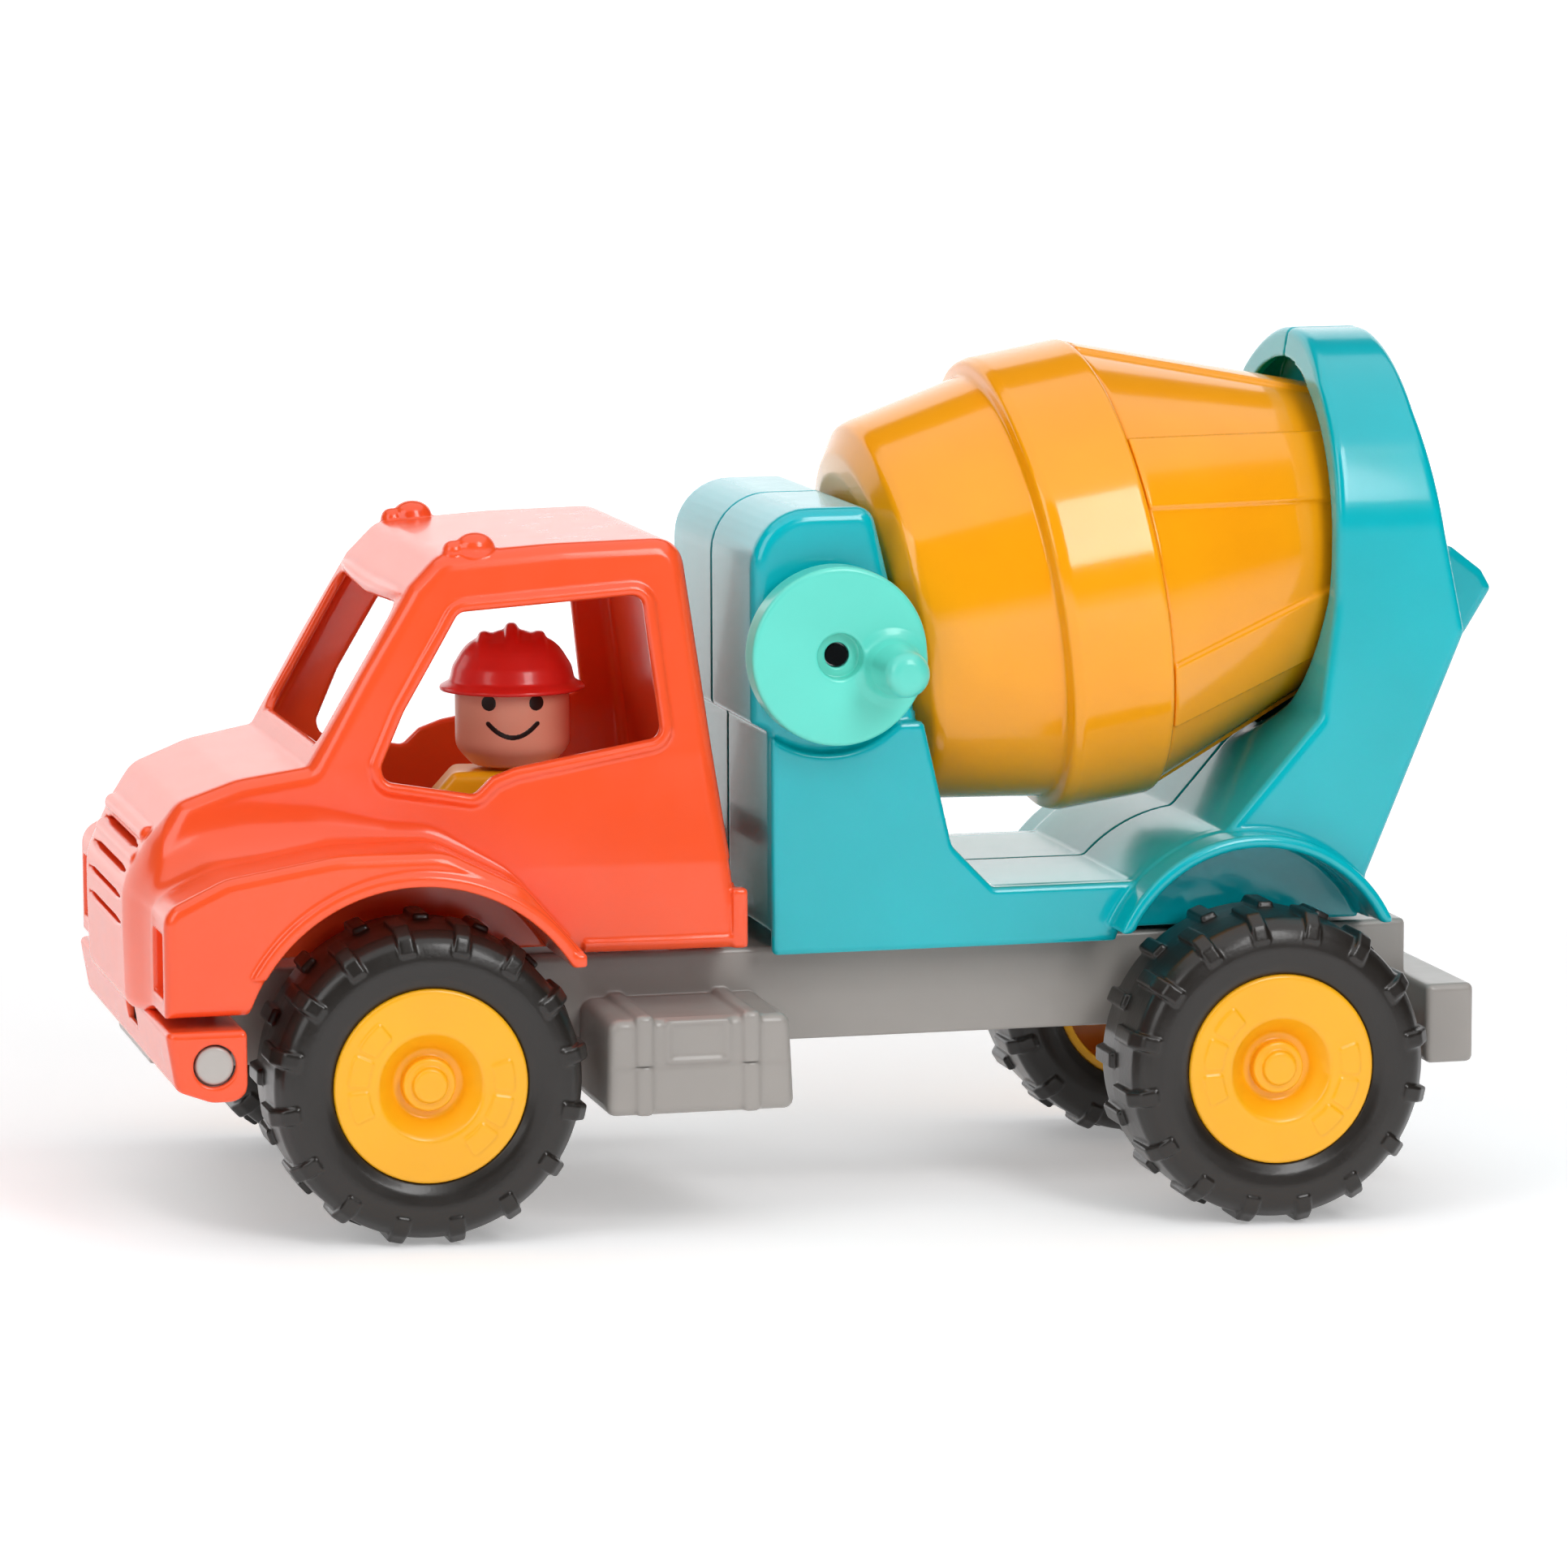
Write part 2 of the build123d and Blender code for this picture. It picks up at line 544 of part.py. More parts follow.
def chute():
    """The short spout below the drum's mouth."""
    side = outline([(-272.5, 87), (-276.0, 87), (-289.0, 97.6, 4), (-296.4, 109.4, 2), (-293.6, 114.4, 2),
                    (-285.0, 121.0, 3), (-274.6, 122.0), (-274.0, 100)])
    spout = slab(side, -22, 22)
    hollow = outline([(-270, 89.2), (-276.0, 89.8), (-287.2, 99.4, 2), (-293.3, 109.2), (-299, 112), (-299, 130),
                      (-270, 130)])
    return spout - slab(hollow, -19.6, 19.6)


# ---------------------------------------------------------------- wheels, left side, about local Y
def wheel_hub():
    out = TRACK_OUTER - 1.0
    profile = [(AXLE_R, 38.0), (4.6, 38.0), (4.6, out - 8.6), (9.2, out - 8.6), (13.6, out - WALL),
               (22.0, out - WALL), (22.0, 45.0), (HUB_R, 45.0), (HUB_R, out - 0.6), (HUB_R - 0.6, out),
               (13.6, out), (8.9, out - 5.8), (6.7, out - 5.8), (6.7, out - 3.2), (6.1, out - 2.6),
               (4.4, out - 2.6), (4.4, out - 1.5), (3.9, out - 1.0), (0, out - 1.0), (0, out - 5.0),
               (AXLE_R, out - 5.0)]
    return turned_y(profile)


def tyre():
    out = TRACK_OUTER
    mid = out - TYRE_WIDTH / 2
    upper = [(HUB_R, 16.2), (27, 17.5), (31, 18.0), (34.6, 17.2), (37.2, 15.0), (TREAD_R, 11.6)]
    inner = [(35.4, 0), (35.0, 11.0), (32.0, 14.8), (HUB_R, 13.2)]
    profile = [(r, mid + w) for r, w in upper] + [(r, mid - w) for r, w in reversed(upper)]
    profile += [(r, mid - w) for r, w in reversed(inner)] + [(r, mid + w) for r, w in inner[1:]]
    ring = turned_y(profile)
    for index in range(LUGS):
        for row in (-1, 1):
            face = outline([(0.4, 37.4), (0.4, TYRE_R), (14.4, TYRE_R), (17.0, 37.4), (17.9, 34.0), (16.4, 33.4),
                            (13.6, 37.0)])
            lug = across(face, -2.1, 2.1)
            lug = lug if row > 0 else other_side(lug)
            angle = 360 / LUGS * (index + (0.5 if row > 0 else 0))
            ring += Rot(0, 180 + angle, 0) * Pos(0, mid, 0) * lug
    return ring


def axle():
    return rod_y(AXLE_R, -TRACK_OUTER + 6.0, TRACK_OUTER - 6.0)


# ---------------------------------------------------------------- fasteners
def rising_screw(x, y, seat, length):
    return rod_z(SCREW_R, seat, seat + length, x, y) + rod_z(2.9, seat - 2.0, seat, x, y)


def body_screws():
    screws = []
    for x, z in BODY_SCREWS:
        screws.append(rod_y(SCREW_R, -12.2, 10.5, x, z) + rod_y(2.9, -14.2, -12.0, x, z))
    return screws


# ---------------------------------------------------------------- build and write
def main():
    os.makedirs("parts", exist_ok=True)
    save("chassis_frame", BODY * chassis_frame())
    save("front_bumper", BODY * front_bumper())
    save("bumper_pin_left", BODY * bumper_pin())
    save("bumper_pin_right", BODY * other_side(bumper_pin()))
    save("cab_shell", BODY * cab_shell())
    save("seat_base", BODY * seat_base())
    driver = BODY * driver_frame()
    save("driver_torso", driver * driver_torso())
    save("driver_head", driver * driver_head())
    save("driver_helmet", driver * driver_helmet())

    body = mixer_body()
    left = body & block((-320, 0, -50), (0, 100, 250))
    right = body & block((-320, -100, -50), (0, 0, 250))
    save("body_half_left", BODY * left)
    save("body_half_right", BODY * right)
    save("discharge_chute", BODY * chute())

    drum = BODY * DRUM
    save("drum_front_shell", drum * drum_front_shell())
    save("drum_rear_shell", drum * drum_rear_shell())
    save("crown_gear", drum * crown_gear())
    save("spindle_screw", drum * spindle_screw())
    crank = BODY * CRANK
    save("crank_wheel", crank * crank_wheel())
    save("crank_shaft", crank * crank_shaft())
    save("crank_pinion", crank * pinion())
    save("crank_screw", crank * crank_screw())
    save("crank_shaft_cap", crank * shaft_cap())

    for name, x in (("front", FRONT_AXLE_X), ("rear", FRONT_AXLE_X - WHEELBASE)):
        place = Pos(x, 0, TYRE_R)
        save(name + "_axle", place * axle())
        save(name + "_left_hub", place * wheel_hub())
        save(name + "_right_hub", place * other_side(wheel_hub()))
        save(name + "_left_tyre", place * tyre())
        save(name + "_right_tyre", place * other_side(tyre()))

    frame_screws = [rising_screw(x, y, 17.0, 17.0) for x, y in CHASSIS_SCREWS]
    cab_screws = [rising_screw(x, y, 17.0, 17.0) for x, y in CAB_SCREWS]
    save("body_mounting_screws", BODY * Compound(frame_screws))
    save("cab_mounting_screws", BODY * Compound(cab_screws))
    save("body_joining_screws", BODY * Compound(body_screws()))


main()
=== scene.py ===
import json
import math

import bpy
import numpy as np
from mathutils import Matrix, Vector


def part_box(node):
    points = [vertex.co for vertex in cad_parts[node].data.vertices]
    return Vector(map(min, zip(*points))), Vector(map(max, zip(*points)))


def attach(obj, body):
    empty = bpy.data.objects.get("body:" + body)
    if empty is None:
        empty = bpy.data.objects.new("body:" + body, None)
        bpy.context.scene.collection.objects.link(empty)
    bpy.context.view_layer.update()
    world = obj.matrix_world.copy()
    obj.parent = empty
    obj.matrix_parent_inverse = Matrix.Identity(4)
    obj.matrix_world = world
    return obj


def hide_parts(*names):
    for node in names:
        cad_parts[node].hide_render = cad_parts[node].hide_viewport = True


# The looks of a toy cement mixer lorry, built around its CAD frame. Shapes are drawn in
# millimetres in the lorry's own leaning body frame, and every mesh is placed in metres.

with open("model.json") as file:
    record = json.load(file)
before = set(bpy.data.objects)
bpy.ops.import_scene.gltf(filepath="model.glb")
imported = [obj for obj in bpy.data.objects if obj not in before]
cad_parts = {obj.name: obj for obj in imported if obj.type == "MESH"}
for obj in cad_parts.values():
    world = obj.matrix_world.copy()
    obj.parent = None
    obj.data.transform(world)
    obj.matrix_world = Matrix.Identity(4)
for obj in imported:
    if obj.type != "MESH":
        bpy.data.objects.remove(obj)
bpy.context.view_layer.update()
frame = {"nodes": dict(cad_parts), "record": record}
MM = 0.001
FINE = 1.0


def middle(node):
    low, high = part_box(node)
    return (low + high) / 2 / MM


FRONT_AXLE = middle("front_axle")
REAR_AXLE = middle("rear_axle")
TYRE_R = FRONT_AXLE.z
RAKE = 1.6
WALL = 2.5
CHASSIS_HALF, CHASSIS_TOP = 36.0, 24.6
CHASSIS_ROOM = 36.3             # half the width left free for the chassis
NOSE_ROOM = 63.2                # front end of that free space
POST_R, POST_HOLE_R = 4.2, 1.45   # posts that take a screw from below
CHEEK_Y, SIDE_Y = 35, 75.0      # inside which the side features stop; the fender's face
PIN_X, PIN_Z = 54.2, 7.9        # bumper pins


# ---------------------------------------------------------------- frames, as 4 x 4 matrices
def shifted(x, y, z):
    place = np.eye(4)
    place[:3, 3] = (x, y, z)
    return place


def about_y(degrees):
    c, s = math.cos(math.radians(degrees)), math.sin(math.radians(degrees))
    return np.array([[c, 0, s, 0], [0, 1, 0, 0], [-s, 0, c, 0], [0, 0, 0, 1.0]])


def about_z(degrees):
    c, s = math.cos(math.radians(degrees)), math.sin(math.radians(degrees))
    return np.array([[c, -s, 0, 0], [s, c, 0, 0], [0, 0, 1, 0], [0, 0, 0, 1.0]])


CRANK_X, CRANK_Z = -109.3, 101.7
DRUM_TILT = 9.6
DRUM_X = -181.0
DRUM_Z = CRANK_Z + (CRANK_X - DRUM_X) * math.tan(math.radians(DRUM_TILT))
DRIVER_X, DRIVER_TURN = -36.8, 79.0
BODY = shifted(FRONT_AXLE.x, 0, FRONT_AXLE.z) @ about_y(RAKE)
DRUM = BODY @ shifted(DRUM_X, 0, DRUM_Z) @ about_y(DRUM_TILT)
CRANK = BODY @ shifted(CRANK_X, 0, CRANK_Z)
DRIVER = BODY @ shifted(DRIVER_X, 0, 0) @ about_z(DRIVER_TURN)


# ---------------------------------------------------------------- outlines and distances
def rounded(corners, turn=0.18):
    """Outline points from (u, v) or (u, v, radius) corners, with each radius as an arc."""
    points = []
    for place, corner in enumerate(corners):
        here = np.array(corner[:2], float)
        if len(corner) == 2:
            points.append(here)
            continue
        back = np.array(corners[place - 1][:2], float) - here
        ahead = np.array(corners[(place + 1) % len(corners)][:2], float) - here
        back /= np.linalg.norm(back)
        ahead /= np.linalg.norm(ahead)
        half = math.acos(float(np.clip(back @ ahead, -1, 1))) / 2
        centre = here + (back + ahead) / np.linalg.norm(back + ahead) * corner[2] / math.sin(half)
        start = here + back * corner[2] / math.tan(half) - centre
        sweep = math.pi - 2 * half
        if back[0] * ahead[1] - back[1] * ahead[0] > 0:
            sweep = -sweep
        steps = max(2, int(abs(sweep) / turn) + 1)
        for step in range(steps + 1):
            a = sweep * step / steps
            points.append(centre + (start[0] * math.cos(a) - start[1] * math.sin(a),
                                    start[0] * math.sin(a) + start[1] * math.cos(a)))
    return np.array(points)


def outline_distance(corners, u, v):
    """Signed distance from points to a closed outline, negative inside."""
    points = rounded(corners)
    u, v = np.broadcast_arrays(u, v)
    best = np.full(u.shape, 1e9, np.float32)
    inside = np.zeros(u.shape, bool)
    for (u0, v0), (u1, v1) in zip(points, np.roll(points, -1, axis=0)):
        du, dv = u1 - u0, v1 - v0
        if du == 0 and dv == 0:
            continue
        wu, wv = u - u0, v - v0
        along = np.clip((wu * du + wv * dv) / (du * du + dv * dv), 0, 1)
        best = np.minimum(best, (wu - along * du) ** 2 + (wv - along * dv) ** 2)
        inside ^= ((v0 <= v) != (v1 <= v)) & ((wu * dv - wv * du) * (1 if dv > 0 else -1) < 0)
    return np.where(inside, -1, 1).astype(np.float32) * np.sqrt(best)


def both(a, b, r=0.0):
    """What two shapes share, with a rounded edge of radius r."""
    if np.isscalar(r) and r == 0:
        return np.maximum(a, b)
    u, v = np.maximum(a + r, 0), np.maximum(b + r, 0)
    return np.minimum(-r, np.maximum(a, b)) + np.sqrt(u * u + v * v)


def join(a, b, r=0.0):
    """Two shapes together, with a hollow fillet of radius r."""
    return -both(-a, -b, r)


def cut(a, b, r=0.0):
    """Shape a without shape b, with a rounded edge of radius r."""
    return both(a, -b, r)


def between(value, low, high):
    """Distance outside a range along one axis."""
    return np.maximum(low - value, value - high)


def cuboid(g, low, high, r=0.0):
    """A box with edges rounded by r, on a grid."""
    parts = [np.abs(axis - (a + b) / 2) - (b - a) / 2 + r
             for axis, a, b in zip((g.x, g.y, g.z), low, high)]
    outside = np.sqrt(sum(np.maximum(p, 0) ** 2 for p in parts))
    return outside + np.minimum(np.maximum(np.maximum(parts[0], parts[1]), parts[2]), 0) - r


class Profile:
    """A looked-up signed distance to an outline, quick for whole grids."""

    def __init__(self, corners, step=0.2, room=14.0):
        points = rounded(corners)
        self.low = points.min(0) - room
        count = np.ceil((points.max(0) + room - self.low) / step).astype(int) + 1
        self.step = step
        u = self.low[0] + step * np.arange(count[0])[:, None]
        v = self.low[1] + step * np.arange(count[1])[None, :]
        self.table = outline_distance(corners, u.astype(np.float32), v.astype(np.float32))

    def __call__(self, u, v):
        u, v = np.broadcast_arrays(u, v)
        last = np.array(self.table.shape) - 1.001
        a = np.clip((u - self.low[0]) / self.step, 0, last[0]).astype(np.float32)
        b = np.clip((v - self.low[1]) / self.step, 0, last[1]).astype(np.float32)
        i, j = a.astype(np.int32), b.astype(np.int32)
        a, b = a - i, b - j
        flat = self.table.ravel()
        at = i * self.table.shape[1] + j
        across = self.table.shape[1]
        near = flat[at] * (1 - b) + flat[at + 1] * b
        far = flat[at + across] * (1 - b) + flat[at + across + 1] * b
        return near * (1 - a) + far * a


class Grid:
    """Sample points for a shape. A mirrored grid holds the y > 0 half of a symmetrical one."""

    def __init__(self, low, high, step, mirrored=False):
        self.step = step * FINE
        self.mirrored = mirrored
        self.axes = []
        for axis, (a, b) in enumerate(zip(low, high)):
            start = self.step / 2 if mirrored and axis == 1 else a
            count = int(math.ceil((b - start) / self.step)) + 1
            self.axes.append((start + self.step * np.arange(count)).astype(np.float32))
        self.spread()

    def spread(self):
        self.x = self.axes[0][:, None, None]
        self.y = self.axes[1][None, :, None]
        self.z = self.axes[2][None, None, :]

    def side(self, corners):
        return outline_distance(corners, self.x, self.z)

    def plan(self, corners):
        return outline_distance(corners, self.x, self.y)

    def front(self, corners):
        return outline_distance(corners, self.y, self.z)

    def change(self, field, low, high, combine, feature, r=0.0):
        """Join or cut a small feature, working only on the samples around it."""
        spans = []
        for axis, a, b in zip(self.axes, low, high):
            spans.append(slice(max(int(np.searchsorted(axis, a - 2)), 0),
                               int(np.searchsorted(axis, b + 2)) + 1))
        part = Grid.__new__(Grid)
        part.step, part.mirrored = self.step, self.mirrored
        part.axes = [axis[span] for axis, span in zip(self.axes, spans)]
        if min(len(axis) for axis in part.axes) == 0:
            return
        part.spread()
        spans = tuple(spans)
        field[spans] = combine(field[spans], feature(part), r)


# ---------------------------------------------------------------- surfaces from distances
CORNERS = [(i, j, k) for i in (0, 1) for j in (0, 1) for k in (0, 1)]
EDGES = [(a, b) for a in range(8) for b in range(a + 1, 8)
         if sum(p != q for p, q in zip(CORNERS[a], CORNERS[b])) == 1]


def sampled(flat, shape, at):
    """The field between samples, at places counted in samples."""
    cell = np.clip(np.floor(at).astype(np.int64), 0, np.array(shape) - 2)
    t = (at - cell).astype(np.float32)
    start = (cell[:, 0] * shape[1] + cell[:, 1]) * shape[2] + cell[:, 2]
    total = np.zeros(len(at), np.float32)
    for i, j, k in CORNERS:
        weight = (t[:, 0] if i else 1 - t[:, 0]) * (t[:, 1] if j else 1 - t[:, 1])
        weight = weight * (t[:, 2] if k else 1 - t[:, 2])
        total += weight * flat[start + (i * shape[1] + j) * shape[2] + k]
    return total


def slope(flat, shape, at, reach):
    found = np.empty((len(at), 3), np.float32)
    for axis in range(3):
        step = np.zeros(3)
        step[axis] = reach
        ahead, behind = sampled(flat, shape, at + step), sampled(flat, shape, at - step)
        found[:, axis] = (ahead - behind) / (2 * reach)
    return found


def surface(grid, field):
    """Vertices, quads and normals of a field's zero surface, by surface nets."""
    axes = list(grid.axes)
    field = np.ascontiguousarray(np.broadcast_to(field, [len(a) for a in axes]), dtype=np.float32)
    if grid.mirrored:
        field = np.ascontiguousarray(np.concatenate((field[:, ::-1], field), axis=1))
        axes[1] = np.concatenate((-axes[1][::-1], axes[1]))
    solid = field < 0
    shape = field.shape
    counts = np.zeros([n - 1 for n in shape], np.uint8)
    for i, j, k in CORNERS:
        counts += solid[i:shape[0] - 1 + i, j:shape[1] - 1 + j, k:shape[2] - 1 + k]
    mixed = (counts > 0) & (counts < 8)
    cells = np.argwhere(mixed)
    number = np.full(mixed.shape, -1, np.int32)
    number[mixed] = np.arange(len(cells), dtype=np.int32)
    flat = field.ravel()
    start = (cells[:, 0] * shape[1] + cells[:, 1]) * shape[2] + cells[:, 2]
    value = [flat[start + (i * shape[1] + j) * shape[2] + k] for i, j, k in CORNERS]
    total = np.zeros((len(cells), 3))
    crossings = np.zeros(len(cells))
    for a, b in EDGES:
        changes = (value[a] < 0) != (value[b] < 0)
        gap = np.where(changes, value[a] - value[b], 1)
        t = np.where(changes, value[a] / gap, 0)[:, None]
        place = np.array(CORNERS[a]) + t * (np.array(CORNERS[b]) - CORNERS[a])
        total += place * changes[:, None]
        crossings += changes
    at = cells + total / crossings[:, None]
    for _ in range(2):
        grad = slope(flat, shape, at, 0.5)
        push = sampled(flat, shape, at)[:, None] * grad / np.maximum((grad ** 2).sum(1), 0.05)[:, None]
        at = at - np.clip(push, -0.4, 0.4)
    normals = slope(flat, shape, at, 0.9)
    quads = []
    for axis in range(3):
        u, v = (axis + 1) % 3, (axis + 2) % 3
        lower = [slice(1, -1)] * 3
        upper = [slice(1, -1)] * 3
        lower[axis], upper[axis] = slice(0, -1), slice(1, None)
        first, last = solid[tuple(lower)], solid[tuple(upper)]
        found = np.argwhere(first != last)
        outward = first[first != last]
        found[:, u] += 1
        found[:, v] += 1
        ring = []
        for du, dv in ((-1, -1), (0, -1), (0, 0), (-1, 0)):
            cell = found.copy()
            cell[:, u] += du
            cell[:, v] += dv
            ring.append(number[cell[:, 0], cell[:, 1], cell[:, 2]])
        ring = np.stack(ring, axis=1)
        ring[~outward] = ring[~outward][:, ::-1]
        quads.append(ring)
    origin = np.array([axis[0] for axis in axes])
    return origin + at * grid.step, np.concatenate(quads), normals


def piece(name, made, place, body, material, replaces=()):
    """A mesh from vertices, quads and normals in millimetres, placed and riding on a body."""
    points, quads, normals = made
    turn = place[:3, :3]
    points = (points @ turn.T + place[:3, 3]) * MM
    normals = normals @ turn.T
    normals = normals / np.maximum(np.linalg.norm(normals, axis=1), 1e-9)[:, None]
    if np.linalg.det(turn) < 0:
        quads = quads[:, ::-1]
    mesh = bpy.data.meshes.new(name)
    mesh.vertices.add(len(points))
    mesh.vertices.foreach_set("co", points.astype(np.float32).ravel())
    mesh.loops.add(quads.size)
    mesh.loops.foreach_set("vertex_index", np.ascontiguousarray(quads, dtype=np.int32).ravel())
    mesh.polygons.add(len(quads))
    mesh.polygons.foreach_set("loop_start", np.arange(0, quads.size, 4, dtype=np.int32))
    mesh.update(calc_edges=True)
    mesh.shade_smooth()
    mesh.normals_split_custom_set_from_vertices(normals.astype(np.float32))
    mesh.materials.append(material)
    made_object = bpy.data.objects.new(name, mesh)
    bpy.context.scene.collection.objects.link(made_object)
    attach(made_object, body)
    if replaces:
        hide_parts(*replaces)
    return made_object


# ---------------------------------------------------------------- materials
def linear(colour):
    return [((c / 255 + 0.055) / 1.055) ** 2.4 if c > 10 else c / 255 / 12.92 for c in colour]


def moulded(name, colour, rough=0.22, drift=0.05, grain=0.03, coat=0.25):
    """Moulded plastic: faint colour drift, uneven gloss and a fine skin texture."""
    material = bpy.data.materials.new(name)
    material.use_nodes = True
    nodes, links = material.node_tree.nodes, material.node_tree.links
    shader = nodes["Principled BSDF"]
    where = nodes.new("ShaderNodeTexCoord")

    def noise(scale, detail):
        made = nodes.new("ShaderNodeTexNoise")
        made.inputs["Scale"].default_value = scale
        made.inputs["Detail"].default_value = detail
        links.new(where.outputs["Object"], made.inputs["Vector"])
        return made.outputs["Fac"]

    base = linear(colour)
    ramp = nodes.new("ShaderNodeValToRGB")
    ramp.color_ramp.elements[0].position = 0.3
    ramp.color_ramp.elements[1].position = 0.7
    ramp.color_ramp.elements[0].color = [c * (1 - drift) for c in base] + [1]
    ramp.color_ramp.elements[1].color = [min(c * (1 + drift), 1) for c in base] + [1]
    links.new(noise(26, 3), ramp.inputs["Fac"])
    links.new(ramp.outputs["Color"], shader.inputs["Base Color"])

    gloss = nodes.new("ShaderNodeMapRange")
    gloss.inputs["To Min"].default_value = rough * 0.8
    gloss.inputs["To Max"].default_value = rough * 1.25
    links.new(noise(140, 4), gloss.inputs["Value"])
    links.new(gloss.outputs["Result"], shader.inputs["Roughness"])

    bump = nodes.new("ShaderNodeBump")
    bump.inputs["Strength"].default_value = grain
    bump.inputs["Distance"].default_value = 0.0004
    links.new(noise(900, 2), bump.inputs["Height"])
    links.new(bump.outputs["Normal"], shader.inputs["Normal"])
    shader.inputs["Coat Weight"].default_value = coat
    shader.inputs["Coat Roughness"].default_value = 0.06
    return material


def metal(name, colour, rough=0.3):
    """Plated steel with fine turning marks."""
    material = moulded(name, colour, rough, drift=0.08, grain=0.12, coat=0.0)
    material.node_tree.nodes["Principled BSDF"].inputs["Metallic"].default_value = 1.0
    return material


LOOKS = {
    "orange_plastic": moulded("orange_plastic", (255, 88, 42)),
    "teal_plastic": moulded("teal_plastic", (0, 180, 192), rough=0.18),
    "mint_plastic": moulded("mint_plastic", (98, 220, 203), rough=0.3),
    "amber_plastic": moulded("amber_plastic", (255, 164, 16), rough=0.14),
    "yellow_plastic": moulded("yellow_plastic", (255, 180, 18), rough=0.34),
    "grey_plastic": moulded("grey_plastic", (160, 155, 150), rough=0.36),
    "light_grey_plastic": moulded("light_grey_plastic", (188, 183, 178), rough=0.32),
    "black_tyre": moulded("black_tyre", (34, 30, 27), rough=0.3, grain=0.08, coat=0.1),
    "red_plastic": moulded("red_plastic", (238, 46, 40), rough=0.3),
    "skin_plastic": moulded("skin_plastic", (255, 178, 150), rough=0.4, coat=0.05),
    "white_nylon": moulded("white_nylon", (226, 224, 216), rough=0.4),
    "steel": metal("steel", (190, 190, 192)),
}
# Steel darkened to near black for the crank screw: painted shade, so the screw sunk in its recess shows as a
# dark hole.
SCREW_PAINTED_SHADE = metal("screw_steel_painted_shade", (24, 24, 26), rough=0.55)
INK = moulded("face_ink", (24, 17, 15), rough=0.35, coat=0.1)


def dress_frame():
    """Gives every CAD node its slot's material, so that nothing is left plain; the crank screw instead gets
    steel darkened to near black, painted shade for its recess.
    """
    slots = {entry["node"]: entry["material_slot"] for entry in frame["record"]["subparts"]}
    for name, node in frame["nodes"].items():
        node.data.materials.clear()
        node.data.materials.append(SCREW_PAINTED_SHADE if name == "crank_screw" else LOOKS[slots[name]])
    return slots


# ---------------------------------------------------------------- cab
CAB_SIDE = [(65.6, 19.3), (66.4, 34), (66.4, 46), (63.6, 58.5, 5), (57.0, 68.0, 8), (42.0, 73.6, 20),
            (24.5, 76.6, 1.5), (-1.6, 121.0, 2), (-9.5, 129.0, 7), (-40, 131.2, 60), (-71.6, 132.0, 8),
            (-85.6, 27.5), (-38, 27.5), (-38, 19.3)]
FENDER_SIDE = [(65.6, 19.3), (65.6, 46, 6), (50, 53.5, 12), (22, 58.2, 30), (-5, 58.2, 14),
               (-24.5, 48.5, 14), (-39.6, 31.5), (-39.6, 28.2), (-36, 28.2), (-36, 19.3)]
SIDE_WINDOW = [(-13.9, 114.5, 3), (-60.9, 117.6, 3), (-65.1, 81.6, 3), (-27.4, 75.2, 3), (-21.3, 73.0),
               (-16.9, 68.8, 2), (5.6, 72.6, 3), (6.5, 76.4, 2), (0.6, 90.0, 20)]
WINDSCREEN = [(-39, 81, 4), (39, 81, 4), (40, 116.5, 4), (0, 115.0, 90), (-40, 116.5, 4)]
GRILLE_BARS = [(65.8, 33.1), (66.2, 39.5), (66.0, 46.1), (65.0, 52.6), (62.5, 58.9)]
BAR_R = 2.4
BAR_PROUD = 0.2
ARCH_X, ARCH_Z, ARCH_R = 2.2, 4.7, 45.2


def mirrored_outline(half):
    """A symmetrical outline from its positive side, given as (u, v) with v the mirrored one."""
    return half + [(u, -v) for u, v in reversed(half)]


CAB_PLAN = mirrored_outline([(72, 33), (61, 41.5), (24, 47), (-12, 51), (-90, 56)])
CAB_FRONT = [(-56, 5), (56, 5), (54, 50), (50, 78, 30), (46, 134), (-46, 134), (-50, 78, 30), (-54, 50)]


def cab_outer(g, inset=0.0, edge=4.5):
    plan, front = g.plan(CAB_PLAN) + inset, g.front(CAB_FRONT) + inset
    side = g.side(CAB_SIDE) + inset
    cabin = both(side, both(plan, front, 3.0), edge)
    fender = both(g.side(FENDER_SIDE) + inset, g.y - SIDE_Y + inset, max(edge - 1.5, 0.5))
    if inset:
        return np.minimum(cabin, fender), plan, front
    soft = np.interp(g.x, (-24, 6, 40), (1.6, 5, 14)).astype(np.float32)
    return join(cabin, fender, soft), plan, front


